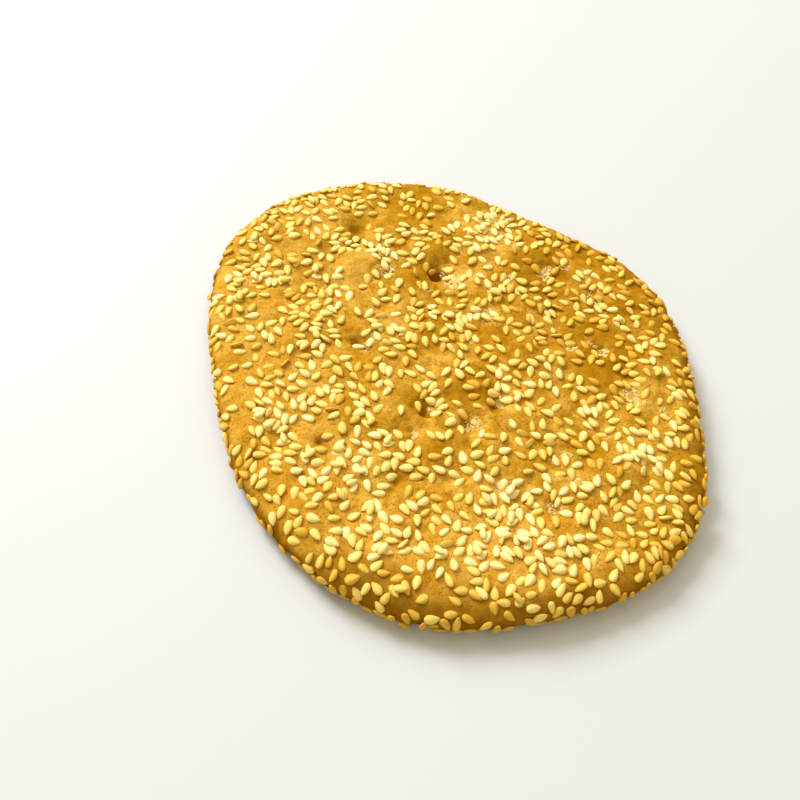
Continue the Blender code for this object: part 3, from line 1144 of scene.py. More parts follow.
@dataclass
class Crust(Dressed):
    """The baked crust as one closed surface: face, shoulder, rim and foot."""

    skin: BakedAndShadedSkin
    finish: CrustFinish
    face_cells: int = 240
    shoulder_rows: int = 18
    under_rows: int = 9
    poles: Span = (2e-3, 3.998)
    foot_start: Ramp = Ramp(2.7, 3.05)
    foot_room: float = 0.02

    def _layout(self) -> tuple[Array, Array, Array, Array]:
        """Where the surface's points lie, and its faces.

        The face and the foot are square grids pressed into discs; the foot's has half the
        cells a side. Rows of quads join them over the shoulder and under the rim, and a
        triangle joins each two cells of the last row to one of the foot.

        Returns:
            Angles, bands, quads and triangles.
        """
        size = self.face_cells + 1
        angle, radius = disc_grid(size)
        border = grid_border(size)
        count = len(border)
        rows = self.shoulder_rows + self.under_rows
        over = SHOULDER + np.arange(1, self.shoulder_rows + 1) / self.shoulder_rows
        under = RIM + np.arange(1, self.under_rows + 1) / self.under_rows
        belt_band = np.repeat(np.concatenate([over, under]), count)
        belt_angle = np.tile(angle[border], rows)
        foot_size = self.face_cells // 2 + 1
        foot_angle, foot_radius = disc_grid(foot_size)
        inner = foot_radius < 1.0 - 1e-9
        belt_start = size * size
        foot_start = belt_start + rows * count
        foot_index = np.full(foot_size * foot_size, -1)
        foot_index[inner] = foot_start + np.arange(inner.sum())
        last_row = belt_start + (rows - 1) * count + np.arange(count)
        foot_index[grid_border(foot_size)] = last_row[::2]
        loops = np.concatenate([border, belt_start + np.arange(rows * count)])
        loops = loops.reshape(rows + 1, count)
        after = np.roll(loops, -1, axis=1)
        belt = np.stack([loops[:-1], loops[1:], after[1:], after[:-1]], axis=-1).reshape(-1, 4)
        foot = foot_index[grid_quads(foot_size, foot_size)][:, ::-1]
        quads = np.concatenate([grid_quads(size, size), belt, foot])
        ends = np.stack([last_row[::2], last_row[1::2], np.roll(last_row, -2)[::2]], axis=1)
        angles = np.concatenate([angle, belt_angle, foot_angle[inner]])
        bands = np.concatenate([radius, belt_band, FOOT_MIDDLE - foot_radius[inner]])
        return angles, bands, quads, ends[:, ::-1]

    def build(self) -> None:
        """Makes the surface, kept just over the floor, and paints it for the finish."""
        angle, band, quads, triangles = self._layout()
        _, _, normal, _ = self.skin.axes(angle, np.clip(band, *self.poles))
        normal[band > FOOT] = (0.0, 0.0, -1.0)
        form = self.skin.form(angle, band)
        torn = self.skin.torn(form)
        foot = self.foot_start.at(band)
        points = form + normal * self.skin.fine(form, torn, foot)[:, None]
        points[:, 2] = np.maximum(points[:, 2], self.foot_room)
        self.piece = mesh_piece("crust", points, quads, triangles)
        for name, values in self.skin.paints(form, torn, foot).items():
            paint(self.piece, name, values)


# ---------------------------------------------------------------- small drops laid on the skin


@dataclass(frozen=True)
class Kernel:
    """A small closed drop that seeds and flakes are made from.

    Along t from 0 at its tip to 1 at its blunt end, the half width is
    t^point (1 - t)^blunt, scaled to 1 at its widest. Rows lie at t = (1 - cos(pi j / rows)) / 2.
    Its section is a superellipse, flatter on its back the higher its power, and it thins
    towards its ends as its half width to a lower power.
    """

    rows: int = 6
    sides: int = 8
    point: float = 0.82
    blunt: float = 0.5
    power: float = 2.8
    thinning: float = 0.7
    edge_power: float = 0.5
    tip_edge: float = 0.5

    def section(self) -> tuple[Array, Array]:
        """The drop's section.

        Returns:
            Its points across and up, each from -1 to 1.
        """
        turn = math.tau * np.arange(self.sides) / self.sides
        ways = np.stack([np.cos(turn), np.sin(turn)])
        across, up = np.sign(ways) * np.abs(ways) ** (2.0 / self.power)
        return across, up

    def edges(self) -> Array:
        """How near the drop's points are to its edge.

        Returns:
            For each point, 0 on its ridge, 1 at its sides and ends, and more near its tip.
        """
        ring = np.clip(1.0 - self.section()[1], 0.0, 1.0) ** self.edge_power
        rings = np.tile(ring, (self.rows - 1, 1))
        rings[0] += self.tip_edge
        return np.concatenate([[1.0], rings.reshape(-1), [1.0]])

    def points(self) -> Array:
        """The drop's points.

        Returns:
            Rows of t, side and back, the last two from -1 to 1.
        """
        t = (1.0 - np.cos(math.pi * np.arange(1, self.rows) / self.rows)) / 2.0
        total = self.point + self.blunt
        peak = (self.point / total) ** self.point * (self.blunt / total) ** self.blunt
        half = t**self.point * (1.0 - t) ** self.blunt / peak
        across, up = self.section()
        side = half[:, None] * across
        back = half[:, None] ** self.thinning * up
        body = np.stack([np.broadcast_to(t[:, None], side.shape), side, back], axis=-1)
        return np.concatenate([[[0.0, 0.0, 0.0]], body.reshape(-1, 3), [[1.0, 0.0, 0.0]]])

    def faces(self, copies: int) -> tuple[Array, Array]:
        """The quads of the body and the triangles of both ends, for so many copies.

        Args:
            copies: how many drops follow each other in the list of points.

        Returns:
            Quads and triangles, turned outwards.
        """
        rings = 1 + np.arange((self.rows - 1) * self.sides).reshape(self.rows - 1, self.sides)
        after = np.roll(rings, -1, axis=1)
        quads = np.stack([rings[:-1], after[:-1], after[1:], rings[1:]], axis=-1).reshape(-1, 4)
        last = rings[-1, -1] + 1
        tip = np.stack([np.zeros(self.sides, int), after[0], rings[0]], axis=1)
        end = np.stack([rings[-1], after[-1], np.full(self.sides, last)], axis=1)
        starts = (np.arange(copies) * (last + 1))[:, None, None]
        triangles = np.concatenate([tip, end])
        return (quads + starts).reshape(-1, 4), (triangles + starts).reshape(-1, 3)


@dataclass
class Sown:
    """Where small things lie on the skin, with one row for each."""

    points: Array
    along: Array
    normal: Array
    turn: Array
    length: Array

    def picked(self, rows: Array) -> "Sown":
        """Only these rows."""
        return Sown(*(values[rows] for values in vars(self).values()))

    def joined(self, other: "Sown") -> "Sown":
        """These rows and then the other's."""
        pairs = zip(vars(self).values(), vars(other).values())
        return Sown(*(np.concatenate(pair) for pair in pairs))

    def axes(self) -> tuple[Array, Array, Array]:
        """Each one's long axis, cross axis and back, as unit rows."""
        across = np.cross(self.normal, self.along)
        cos, sin = np.cos(self.turn)[:, None], np.sin(self.turn)[:, None]
        return self.along * cos + across * sin, across * cos - self.along * sin, self.normal

    def laid(self, unit: Array, form: "Form") -> Array:
        """Lays one copy of a unit drop on each place.

        Args:
            unit: a kernel's points, or one set of them for each place.
            form: each one's width, thickness and so on.

        Returns:
            For each place, its points.
        """
        unit = np.broadcast_to(unit, (len(self.points), *unit.shape[-2:]))
        t = unit[:, :, 0]
        along = (t - 0.5) * self.length[:, None]
        side = 0.5 * form.width[:, None] * (unit[:, :, 1] + form.bend[:, None] * np.sin(math.pi * t))
        back = 0.5 * form.thick[:, None] * unit[:, :, 2]
        cos_roll, sin_roll = np.cos(form.roll)[:, None], np.sin(form.roll)[:, None]
        out = side * sin_roll + back * cos_roll + form.lift[:, None]
        steps = (
            along * np.cos(form.tilt)[:, None],
            side * cos_roll - back * sin_roll,
            out + along * np.sin(form.tilt)[:, None],
        )
        moved = sum(step[:, :, None] * axis[:, None, :] for step, axis in zip(steps, self.axes()))
        return self.points[:, None, :] + moved


@dataclass
class Form:
    """The shape and the pose of laid drops, with one row for each, in millimetres and radians."""

    width: Array
    thick: Array
    lift: Array
    bend: Array
    tilt: Array
    roll: Array


def lowered(points: Array) -> Array:
    """Moves each drop down by as much as it stands over the ceiling.

    Args:
        points: each drop's points.

    Returns:
        The same points, moved.
    """
    over = np.clip(points[:, :, 2].max(axis=1) - CEILING, 0.0, None)
    points[:, :, 2] -= over[:, None]
    return points


# ---------------------------------------------------------------- the sesame seeds


class Lie(Enum):
    """How seeds lie: on the crust, on other seeds, or pressed into the foot."""

    CRUST = "on the crust"
    SEEDS = "on other seeds"
    FOOT = "in the foot"


@dataclass(frozen=True)
class SeedShape:
    """What sesame seeds measure, in millimetres, and how much they differ."""

    width_share: float = 0.60
    width_swing: float = 0.13
    thick: Span = (0.80, 1.00)
    rise: float = 0.58
    foot_rise: float = 0.20
    uneven: float = 0.035
    bend: float = 0.05
    tilt: float = 0.07
    roll: float = 0.12
    edge_share: float = 0.04
    edge_roll: Span = (0.6, 1.1)
    edge_lift: float = 0.22
    # Seeds standing on edge get painted shade: a tone at least this toasted.
    edge_tone: float = 0.38
    sunk_share: float = 0.12
    sunk: float = 0.28
    sunk_tone: float = 0.55
    least_tone: float = 0.01
    pale_tones: Span = (1.1, 3.8)
    golden_share: float = 0.34
    golden_tone: Span = (0.52, 0.15)
    riding_lift: Span = (0.60, 0.82)
    riding_tilt: float = 0.16

    def drawn(self, sown: Sown, lie: Lie, draw: np.random.Generator) -> tuple[Form, Array]:
        """Draws the shapes of seeds.

        Args:
            sown: where the seeds lie.
            lie: how they lie.
            draw: the random draw.

        Returns:
            Their form, and each seed's tone from 0, pale, to 1, toasted.
        """
        count = len(sown.points)
        width = sown.length * self.width_share
        width = width * draw.uniform(1.0 - self.width_swing, 1.0 + self.width_swing, count)
        thick = draw.uniform(*self.thick, count)
        bend = draw.normal(0.0, self.bend, count)
        tilt = draw.normal(0.0, self.tilt, count)
        roll = draw.normal(0.0, self.roll, count)
        on_edge = (draw.uniform(size=count) < self.edge_share) & (lie is not Lie.FOOT)
        sunk = draw.uniform(size=count) < self.sunk_share
        sides = draw.choice([-1.0, 1.0], count) * draw.uniform(*self.edge_roll, count)
        roll = np.where(on_edge, sides, roll)
        rise = self.foot_rise if lie is Lie.FOOT else self.rise
        lift = rise - thick / 2.0 + self.edge_lift * on_edge - self.sunk * sunk
        tone = self.least_tone + draw.beta(*self.pale_tones, count)
        golden = draw.uniform(size=count) < self.golden_share
        tone = np.where(golden, draw.normal(*self.golden_tone, count), tone)
        darker = np.where(sunk, self.sunk_tone, np.where(on_edge, self.edge_tone, 0.0))
        tone = np.maximum(tone, darker)
        if lie is Lie.SEEDS:
            lift = lift + draw.uniform(*self.riding_lift, count)
            tilt = tilt + draw.uniform(-self.riding_tilt, self.riding_tilt, count)
        return Form(width, thick, lift, bend, tilt, roll), tone


# Where seeds lie thicker and where they leave the crust bare: x, y, spread and share.
THICK_PLACES: Places = (
    (6.0, 51.3, 6.0, 1.6), (-14.2, 9.0, 6.0, 0.7), (14.1, 31.1, 5.0, 0.9), (16.0, -39.4, 6.0, 0.9),
    (-50.7, 26.7, 13.0, 1.0), (-42.3, 46.2, 10.0, 0.8), (-58.9, 10.6, 8.0, 0.6),
    (28.4, 23.7, 6.0, 0.6), (45.0, -10.7, 6.0, 0.4), (-23.1, -35.6, 6.0, 0.4),
    (18.9, 1.8, 4.0, 0.6), (52.1, -31.1, 6.0, 0.3),
)
BARE_PLACES: Places = (
    (-29.4, 29.6, 6.0, 0.97), (-21.5, 29.6, 3.0, 0.80), (2.3, -9.1, 4.0, 0.95),
    (11.6, -17.1, 4.2, 0.95), (-1.4, -25.0, 3.5, 0.90), (20.4, 42.3, 4.5, 0.90),
    (19.9, 27.0, 3.4, 0.90), (40.6, 17.6, 3.4, 0.85), (19.3, -24.9, 3.0, 0.85),
    (45.5, -23.7, 3.4, 0.85), (-46.4, -26.9, 5.5, 0.75), (47.8, 0.8, 3.0, 0.80),
    (-26.4, 7.9, 4.5, 0.70), (3.5, 25.0, 4.0, 0.70), (28.1, 30.7, 3.4, 0.50),
)
# Where the later seeds lie thicker, or thinner if negative: x, y, height and spread.
LATER_PLACES: Places = (
    (5.4, 49.6, 3.2, 6.0), (16.4, -39.8, 0.8, 5.0), (-28.6, 35.4, 1.8, 3.4),
    (13.6, -47.6, 1.1, 9.0), (28.5, -47.0, 0.8, 6.5), (48.0, -43.0, 0.8, 7.0),
    (60.0, -30.0, 0.6, 6.0), (55.0, -15.0, 1.0, 6.5), (53.4, 11.0, 0.9, 5.0),
    (-16.7, 8.4, 0.6, 4.5), (16.4, -8.0, 1.3, 4.0), (-31.7, -20.4, 1.0, 5.0),
    (38.0, -38.2, 1.2, 4.0), (49.4, -20.0, 0.5, 5.0), (-23.6, 34.4, 2.0, 4.0),
    (-22.0, -33.0, 1.7, 5.5), (6.5, 30.6, 1.0, 3.5), (14.8, 28.5, 0.6, 4.0),
    (49.5, -16.5, 1.1, 5.0), (42.4, 27.2, 0.9, 4.5), (-15.6, -21.8, 1.1, 5.5),
    (4.4, -29.4, 1.4, 4.0), (-6.2, -7.0, 1.2, 3.8), (18.5, -32.0, 1.3, 5.0),
    (-9.6, -53.2, 1.8, 5.0), (-35.4, 0.4, 1.4, 5.5), (-8.6, -30.4, 1.5, 3.5),
    (-16.4, -38.0, 1.0, 4.5), (3.0, -53.4, 0.6, 4.0), (-25.8, -10.3, 0.5, 4.0),
    (-4.6, 16.2, 1.4, 4.5), (21.3, 22.8, 0.5, 4.0), (-11.0, 28.6, -0.9, 3.6),
    (-29.0, 29.8, -1.8, 5.2), (-22.0, 28.2, -0.9, 3.2), (10.7, -7.3, -1.1, 3.4),
    (-9.4, -36.4, -1.2, 3.2), (-27.7, -28.3, -2.2, 3.2), (-25.4, 5.5, -0.9, 3.2),
    (-30.7, 43.5, -0.9, 3.6), (-12.5, -10.6, -1.3, 4.2), (-8.2, -16.5, -1.2, 3.4),
    (40.0, 15.2, -2.6, 6.0), (31.6, 15.4, -1.4, 4.5), (10.8, 11.0, -1.2, 4.0),
    (22.2, 39.6, -1.2, 5.5), (-7.5, 40.5, -0.7, 4.0), (18.5, -26.0, -0.7, 3.5),
    (45.0, -22.0, -0.5, 4.0), (-16.1, 54.0, -0.6, 6.0), (31.4, 51.8, -1.6, 5.0),
    (13.4, 37.8, -1.6, 4.2), (-21.7, -3.0, -1.3, 4.5), (-47.0, 11.0, -0.9, 5.5),
    (44.0, -2.4, -0.8, 4.5), (30.6, -10.8, -0.6, 4.5), (43.2, -41.2, -2.0, 5.0),
    (-3.7, -26.6, -0.6, 3.4), (39.4, -27.4, 0.6, 4.0), (46.6, -34.6, -0.8, 4.0),
    (-37.7, -45.4, -0.5, 4.0), (37.2, -8.8, 1.7, 4.0), (40.0, 24.0, 1.6, 4.0),
    (-22.2, 3.6, 1.8, 3.8), (-42.0, -25.0, 2.0, 5.0), (-30.6, -35.2, 1.5, 4.0),
    (32.8, -3.6, 0.6, 4.0), (62.0, 15.4, -1.5, 4.5), (62.2, 3.4, -0.6, 4.5),
    (-60.4, 1.2, -0.8, 4.5), (-9.8, -25.2, 1.2, 3.8), (-54.4, 18.6, 1.3, 5.0),
    (-31.4, 14.6, 0.8, 5.5), (-46.4, -33.0, -0.9, 4.5), (34.3, -21.6, -1.1, 4.6),
    (0.8, -36.6, -1.2, 3.8), (-22.2, -16.0, -0.5, 4.5), (-43.0, -10.8, -0.5, 4.0),
    (-20.2, -49.4, -0.5, 4.5), (3.1, 11.8, -0.8, 4.0), (27.0, 25.2, -0.4, 4.5),
    (-11.6, -61.6, -0.5, 5.0), (-1.6, 34.3, -1.2, 3.2), (-47.2, 30.2, -0.5, 4.0),
    (2.0, -9.0, -0.5, 3.5), (63.6, -17.0, -1.1, 5.0), (-26.5, 48.5, -0.6, 5.0),
    (-31.0, -51.6, -0.8, 6.0),
)


@dataclass
class Seeds(Dressed):
    """The sesame seeds, sown thick and thin over the face and the rim.

    The first are the solid's own. The later ones fill in round them, each standing for
    three discs that may not come closer than closeness times their sizes. Riders lie on
    others. All follow the fine relief a little, and seeds that would reach the floor are
    left out.
    """

    skin: BakedAndShadedSkin
    finish: SeedFinish
    kernel: Kernel = Kernel()
    shape: SeedShape = SeedShape()
    first_count: int = 240
    first_draw: int = 417
    first_gap: float = 6.2
    first_quantile: float = 0.98
    first_lengths: Span = (3.7, 3.25)
    draws: int = 9000
    bands: Span = (0.02, 2.62)
    more_count: int = 1660
    more_draws: int = 140000
    more_quantile: float = 0.995
    more_length: Span = (3.40, 0.22)
    length_range: Span = (2.7, 3.8)
    patch_mean: float = 0.76
    patches: Layers = (Ripple(0.64, 13.0, 61), Ripple(0.48, 5.5, 62))
    patch_range: Span = (0.03, 2.2)
    rim_gain: Ramp = Ramp(6.2, 4.2, 0.85)
    front_gain: Ramp = Ramp(-22.0, -36.0, 0.30)
    deepest_pit: float = 0.12
    disc_places: tuple[float, float, float] = (-0.30, 0.02, 0.27)
    disc_sizes: tuple[float, float, float] = (0.62, 0.92, 0.80)
    closeness: float = 0.81
    search: float = 4.0
    rider_count: int = 95
    rider_gap: float = 3.3
    rider_gain: float = 1.5
    rider_range: Span = (-0.6, 2.5)
    rider_power: int = 3
    rider_level: float = 0.8
    rider_off: Span = (0.9, 1.4)
    rider_length: Span = (3.0, 3.5)
    follow: float = 0.8
    follow_reach: float = 0.35
    # Painted shade on the seeds: with the crust's, at the edge, low on the rim, and to the left
    # against the brighter light there.
    brown_tone: float = 0.5
    brown_mean: float = 0.42
    edge_tone: float = 0.52
    thick_tone: float = 0.18
    low_tone: Ramp = Ramp(5.6, 2.8, 0.45)
    left_tone: Ramp = Ramp(-25.0, -50.0, 0.12)
    foot_room: float = 0.05
    lying_draw: int = 81
    riding_draw: int = 82
    uneven_draw: int = 100

    @staticmethod
    def readiness(x: Array, y: Array) -> Array:
        """How readily seeds lie at each place.

        Args:
            x: the places' x.
            y: their y.

        Returns:
            1 on plain crust, more where seeds lie thick, and down to 0 on bare crust.
        """
        share = np.ones_like(x)
        for at_x, at_y, spread, gain in THICK_PLACES:
            share += gain * np.exp(-((x - at_x) ** 2 + (y - at_y) ** 2) / spread**2)
        for at_x, at_y, spread, loss in BARE_PLACES:
            share *= 1.0 - loss * np.exp(-((x - at_x) ** 2 + (y - at_y) ** 2) / spread**2)
        return share

    def _candidates(self, draw: np.random.Generator, draws: int) -> tuple[Array, Array, Array, Array]:
        """Random places on the skin with their axes and readiness times area.

        Args:
            draw: the random draw.
            draws: how many places.

        Returns:
            Points, directions down the section, normals and weights.
        """
        angle = draw.uniform(0.0, math.tau, draws)
        points, along, normal, area = self.skin.axes(angle, draw.uniform(*self.bands, draws))
        return points, along, normal, area * self.readiness(points[:, 0], points[:, 1])

    def _first(self) -> Sown:
        """Draws the seeds that the solid carries: fairly long ones, spread evenly.

        Returns:
            Where they lie.
        """
        draw = np.random.default_rng(self.first_draw)
        points, along, normal, share = self._candidates(draw, self.draws)
        limit = draw.uniform(0.0, np.quantile(share, self.first_quantile), self.draws)
        chosen: list[int] = []
        for index in np.flatnonzero(share > limit):
            if len(chosen) == self.first_count:
                break
            gaps = np.linalg.norm(points[chosen] - points[index], axis=1)
            if not chosen or gaps.min() > self.first_gap:
                chosen.append(index)
        length = np.linspace(*self.first_lengths, len(chosen))
        turn = draw.uniform(0.0, math.tau, len(chosen))
        return Sown(points[chosen], along[chosen], normal[chosen], turn, length)

    def _discs(self, sown: Sown) -> Array:
        """Three discs that stand for each seed: their middles along its long axis."""
        steps = sown.length[:, None] * np.array(self.disc_places)
        return sown.points[:, None, :] + sown.axes()[0][:, None, :] * steps[:, :, None]

    def _fitted(self, first: Sown, every: Sown, likely: Array, count: int) -> Array:
        """Picks places in turn, each where its seed hardly overlaps those before it.

        Args:
            first: the seeds that lie there already.
            every: the places to pick from.
            likely: which of them to try, in turn.
            count: how many to pick.

        Returns:
            The picked rows of every.
        """
        sizes = np.array(self.disc_sizes)
        need = (sizes[:, None, None] + sizes[None, None, :]) * self.closeness
        discs = self._discs(every)
        taken = np.concatenate([self._discs(first), np.empty((count, 3, 3))])
        filled = len(first.points)
        chosen: list[int] = []
        for index in likely:
            if filled == len(taken):
                break
            far = np.abs(taken[:filled, 1] - discs[index, 1]).max(axis=1)
            near = taken[:filled][far < self.search]
            gaps = np.linalg.norm(discs[index][:, None, None, :] - near[None], axis=-1)
            if (gaps > need).all():
                taken[filled] = discs[index]
                filled += 1
                chosen.append(index)
        log.info("sown %d seeds after the first %d", len(chosen), len(first.points))
        return np.array(chosen)

    def _more(self, first: Sown) -> Sown:
        """The rest of the seeds, in clusters and chains between bare patches.

        Args:
            first: the seeds that lie there already.

        Returns:
            The new seeds.
        """
        draw = np.random.default_rng(self.first_draw + 1)
        points, along, normal, share = self._candidates(draw, self.more_draws)
        x, y, height = points.T
        patches = summed(points, self.patches, self.patch_mean)
        patches += mounds(x, y, LATER_PLACES)
        patches += self.rim_gain.at(height)
        patches += self.front_gain.at(y)
        share = share * np.clip(patches, *self.patch_range)
        share = share * (self.skin.pitted(points) < self.deepest_pit)
        limit = draw.uniform(0.0, np.quantile(share, self.more_quantile), len(share))
        likely = np.flatnonzero(share > limit)
        turn = draw.uniform(0.0, math.tau, len(share))
        length = np.clip(draw.normal(*self.more_length, len(share)), *self.length_range)
        every = Sown(points, along, normal, turn, length)
        return every.picked(self._fitted(first, every, likely, self.more_count))

    def _riders(self, under: Sown) -> Sown:
        """Seeds that lie partly on others where those lie thick, each clear of the last ones.

        Args:
            under: the seeds that carry them.

        Returns:
            The riding seeds.
        """
        draw = np.random.default_rng(self.first_draw + 2)
        count = self.rider_count
        x, y = under.points[:, 0], under.points[:, 1]
        crowd = np.clip(self.rider_gain * mounds(x, y, LATER_PLACES), *self.rider_range)
        weight = np.clip((self.readiness(x, y) + crowd) ** self.rider_power, 0.0, None)
        weight = weight * (under.normal[:, 2] > self.rider_level)
        carriers = draw.choice(len(weight), count, replace=False, p=weight / weight.sum())
        riders = under.picked(carriers)
        side = riders.axes()[1] * draw.choice([-1.0, 1.0], count)[:, None]
        riders.points = riders.points + side * draw.uniform(*self.rider_off, count)[:, None]
        riders.turn = draw.uniform(0.0, math.tau, count)
        riders.length = draw.uniform(*self.rider_length, count)
        gaps = np.linalg.norm(riders.points[:, None, :] - riders.points[None], axis=-1)
        return riders.picked(~np.tril(gaps < self.rider_gap, -1).any(axis=1))

    def _group(self, sown: Sown, lie: Lie, seed: int) -> tuple[Array, Array]:
        """The points and tones of a group of seeds, without those that reach too low.

        A seed follows the fine relief under it. It is darker where the crust is brown or
        painted with shade, paler where seeds lie thick, and painted with shade at the edge, low
        on the rim and to the left.

        Args:
            sown: where they lie.
            lie: how they lie.
            seed: the seed of their shapes.

        Returns:
            Each kept seed's points and tone.
        """
        form, tone = self.shape.drawn(sown, lie, np.random.default_rng(seed))
        x, y, height = sown.points.T
        bumps = self.skin.fine(sown.points, self.skin.torn(sown.points), np.zeros_like(x))
        form.lift += self.follow * np.clip(bumps, -self.follow_reach, self.follow_reach)
        brown = self.brown_tone * (self.skin.browned(sown.points) - self.brown_mean)
        tone += brown + self.edge_tone * self.skin.edged(sown.points)
        tone -= self.thick_tone * mounds(x, y, LATER_PLACES)
        tone += self.low_tone.at(height) + self.left_tone.at(x)
        points = lowered(sown.laid(self._units(len(tone), seed), form))
        kept = points[:, :, 2].min(axis=1) > self.foot_room
        return points[kept], np.clip(tone[kept], 0.0, 1.0)

    def _units(self, count: int, seed: int) -> Array:
        """Unit drops, each a little uneven.

        Args:
            count: how many.
            seed: the seed of the group's shapes.

        Returns:
            Each one's points.
        """
        unit = np.tile(self.kernel.points(), (count, 1, 1))
        draw = np.random.default_rng(seed + self.uneven_draw)
        unit[:, :, 1:] += draw.normal(0.0, self.shape.uneven, unit[:, :, 1:].shape)
        return unit

    def _join(self, name: str, points: Array, tone: Array) -> None:
        """Makes one mesh of many seeds and paints their tone and their rims on it.

        Args:
            name: the piece's name.
            points: each seed's points.
            tone: each seed's tone.
        """
        self.piece = mesh_piece(name, points.reshape(-1, 3), *self.kernel.faces(len(points)))
        rim = self.kernel.edges()
        paint(self.piece, "tone", np.repeat(tone, len(rim)))
        # The rim is the golden edge, partly the seed's own colour and partly painted glow.
        paint(self.piece, "rim", np.tile(rim, len(points)))

    def build(self) -> None:
        """Sows the seeds and makes them one joined mesh."""
        first = self._first()
        both = first.joined(self._more(first))
        lying = self._group(both, Lie.CRUST, self.lying_draw)
        riding = self._group(self._riders(both), Lie.SEEDS, self.riding_draw)
        points, tone = (np.concatenate(pair) for pair in zip(lying, riding))
        self._join("sesame_seeds", points, tone)


@dataclass
class FootSeeds(Seeds):
    """Seeds pressed flat into the foot, which lie more thinly and are more toasted."""

    more_count: int = 480
    reach: float = 0.94
    skin_rise: float = 0.22
    patch_mean: float = 0.5
    patches: Layers = (Ripple(0.3, 12.0, 63),)
    lying_draw: int = 83
    toasting: float = 0.25
    flat: float = 0.02

    def build(self) -> None:
        """Sows the foot evenly and presses the seeds level with it."""
        draw = np.random.default_rng(self.first_draw + 3)
        angle = draw.uniform(0.0, math.tau, self.draws)
        inwards = np.sqrt(draw.uniform(0.0, self.reach, self.draws))
        points = self.skin.form(angle, FOOT_MIDDLE - inwards) + (0.0, 0.0, self.skin_rise)
        along = np.stack([np.cos(angle), np.sin(angle), np.zeros_like(angle)], axis=1)
        normal = np.broadcast_to([0.0, 0.0, -1.0], points.shape)
        turn = draw.uniform(0.0, math.tau, self.draws)
        length = np.clip(draw.normal(*self.more_length, self.draws), *self.length_range)
        every = Sown(points, along, normal, turn, length)
        patches = summed(points, self.patches, self.patch_mean)
        likely = np.flatnonzero(patches > draw.uniform(0.0, 1.0, self.draws))
        chosen = self._fitted(every.picked(likely[:1]), every, likely[1:], self.more_count)
        sown = every.picked(chosen)
        form, tone = self.shape.drawn(sown, Lie.FOOT, np.random.default_rng(self.lying_draw))
        laid = sown.laid(self.kernel.points(), form)
        laid[:, :, 2] = np.maximum(laid[:, :, 2], self.flat)
        self._join("foot_seeds", laid, np.clip(tone + self.toasting, 0.0, 1.0))


@dataclass
class Flakes(Dressed):
    """Small pale flakes that stand up where the crust is torn."""

    skin: BakedAndShadedSkin
    finish: FlakeFinish
    kernel: Kernel = Kernel(rows=4, sides=5, point=0.6, blunt=0.6)
    count: int = 260
    draws: int = 60000
    seed: int = 91
    least_torn: float = 0.35
    length: Span = (0.4, 1.1)
    length_power: float = 1.8
    crumple: Span = (0.55, 1.35)
    width_share: Span = (0.6, 1.0)
    thick_share: Span = (0.15, 0.3)
    lift: Span = (-0.25, 0.0)
    bend: float = 0.2
    tilt: float = 0.35
    roll: float = 0.5

    def build(self) -> None:
        """Scatters the flakes over the torn places, crumpled and tipped at random."""
        draw = np.random.default_rng(self.seed)
        angle = draw.uniform(0.0, math.tau, self.draws)
        band = np.sqrt(draw.uniform(0.0, 1.0, self.draws))
        points, along, normal, _ = self.skin.axes(angle, band)
        limit = draw.uniform(self.least_torn, 1.0, self.draws)
        rows = np.flatnonzero(self.skin.torn(points) > limit)[: self.count]
        count = len(rows)
        turn = draw.uniform(0.0, math.tau, count)
        share = draw.uniform(0.0, 1.0, count) ** self.length_power
        length = self.length[0] + (self.length[1] - self.length[0]) * share
        sown = Sown(points[rows], along[rows], normal[rows], turn, length)
        unit = np.tile(self.kernel.points(), (count, 1, 1))
        unit[:, :, 1:] *= draw.uniform(*self.crumple, unit[:, :, 1:].shape)
        form = Form(
            width=length * draw.uniform(*self.width_share, count),
            thick=length * draw.uniform(*self.thick_share, count),
            lift=draw.uniform(*self.lift, count),
            bend=draw.normal(0.0, self.bend, count),
            tilt=draw.normal(0.0, self.tilt, count),
            roll=draw.normal(0.0, self.roll, count),
        )
        laid = lowered(sown.laid(unit, form))
        self.piece = mesh_piece("torn_flakes", laid.reshape(-1, 3), *self.kernel.faces(count))
        paint(self.piece, "tone", np.repeat(draw.uniform(0.0, 1.0, count), unit.shape[1]))


# ---------------------------------------------------------------- floor, light, camera


@dataclass(frozen=True)
class Lamp:
    """A square lamp that faces the biscuit: its place and side in metres, its power in watts."""

    name: str
    place: Spot
    side: float
    power: float

    def hang(self) -> None:
        """Hangs the lamp."""
        light = bpy.data.lights.new(self.name, "AREA")
        light.shape = "SQUARE"
        light.size = self.side
        light.energy = self.power
        lamp = bpy.data.objects.new(self.name, light)
        lamp.location = self.place
        lamp.rotation_euler = (-Vector(self.place)).to_track_quat("-Z", "Y").to_euler()
        bpy.context.scene.collection.objects.link(lamp)


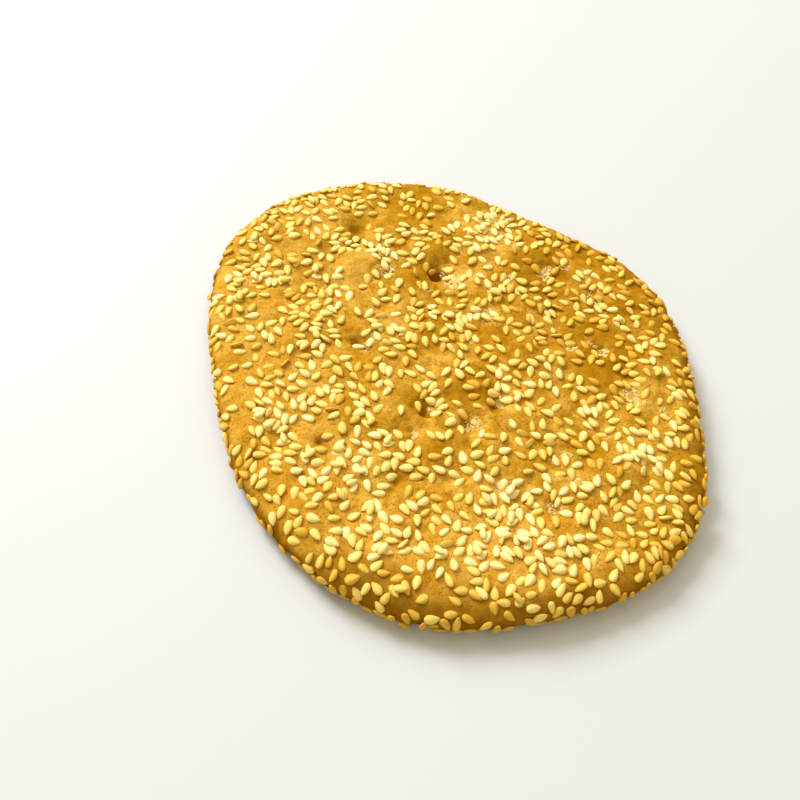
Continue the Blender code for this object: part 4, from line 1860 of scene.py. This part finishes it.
@dataclass(frozen=True)
class Studio:
    """A pale floor, soft light from the left and behind, and the camera.

    The floor's size, the nearest clip and the lamps are in metres, the camera's place and
    sensor in millimetres, its angles in degrees, and the picture in pixels.
    """

    floor_size: float = 12.0
    camera_place: Spot = (-11.3, -119.1, 175.6)
    looks_down: float = 57.6
    roll: float = 10.2
    focal_pixels: float = 800.0
    image_side: float = 800.0
    sensor: float = 36.0
    nearest: float = 0.005
    sky_strength: float = 0.63
    sky_colour: Colour = (1.0, 0.92, 0.62)
    lamps: tuple[Lamp, ...] = (
        Lamp("key", (-1.32, 1.10, 1.24), 0.80, 48.0),
        Lamp("soft", (-0.5, 1.2, 1.4), 1.6, 11.5),
    )

    def floor(self) -> None:
        """Lays the floor under the foot."""
        half = self.floor_size / 2.0 / MM
        signs = np.array([[-1.0, -1.0], [1.0, -1.0], [1.0, 1.0], [-1.0, 1.0]])
        points = np.pad(half * signs, ((0, 0), (0, 1)))
        ground = mesh_piece("floor", points, np.array([[0, 1, 2, 3]]), np.empty((0, 3), int))
        ground.data.materials.append(FloorFinish().material())

    def sky(self) -> None:
        """An even, warm surround."""
        world = bpy.data.worlds.new("surround")
        world.use_nodes = True
        ground = world.node_tree.nodes["Background"]
        ground.inputs["Color"].default_value = (*self.sky_colour, 1.0)
        ground.inputs["Strength"].default_value = self.sky_strength
        bpy.context.scene.world = world

    def camera(self) -> None:
        """Looks down on the biscuit, turned about its own axis by the roll."""
        down, roll = math.radians(self.looks_down), math.radians(self.roll)
        ahead = Vector((0.0, math.cos(down), -math.sin(down)))
        level = Vector((1.0, 0.0, 0.0))
        up = level.cross(ahead)
        right = level * math.cos(roll) + up * math.sin(roll)
        up = right.cross(ahead)
        data = bpy.data.cameras.new("camera")
        data.sensor_width = self.sensor
        data.lens = self.sensor * self.focal_pixels / self.image_side
        data.clip_start = self.nearest
        camera = bpy.data.objects.new("camera", data)
        turn = Matrix((right, up, -ahead)).transposed().to_4x4()
        camera.matrix_world = Matrix.Translation(Vector(self.camera_place) * MM) @ turn
        bpy.context.scene.collection.objects.link(camera)
        bpy.context.scene.camera = camera

    def build(self) -> None:
        """Sets the stage."""
        self.floor()
        self.sky()
        for lamp in self.lamps:
            lamp.hang()
        self.camera()
        bpy.context.scene.view_settings.view_transform = "Standard"


def main() -> None:
    """Builds the stage, the crust, the seeds and the flakes in order."""
    logging.basicConfig(level=logging.INFO, format="%(name)s: %(message)s")
    skin = BakedAndShadedSkin()
    Studio().build()
    seeds = SeedFinish()
    parts = (
        Crust(skin, CrustFinish()),
        Seeds(skin, seeds),
        FootSeeds(skin, seeds),
        Flakes(skin, FlakeFinish()),
    )
    for part in parts:
        part.build()
        part.dress()
        log.info("built %s with %d faces", part.piece.name, len(part.piece.data.polygons))


if __name__ == "__main__":
    main()
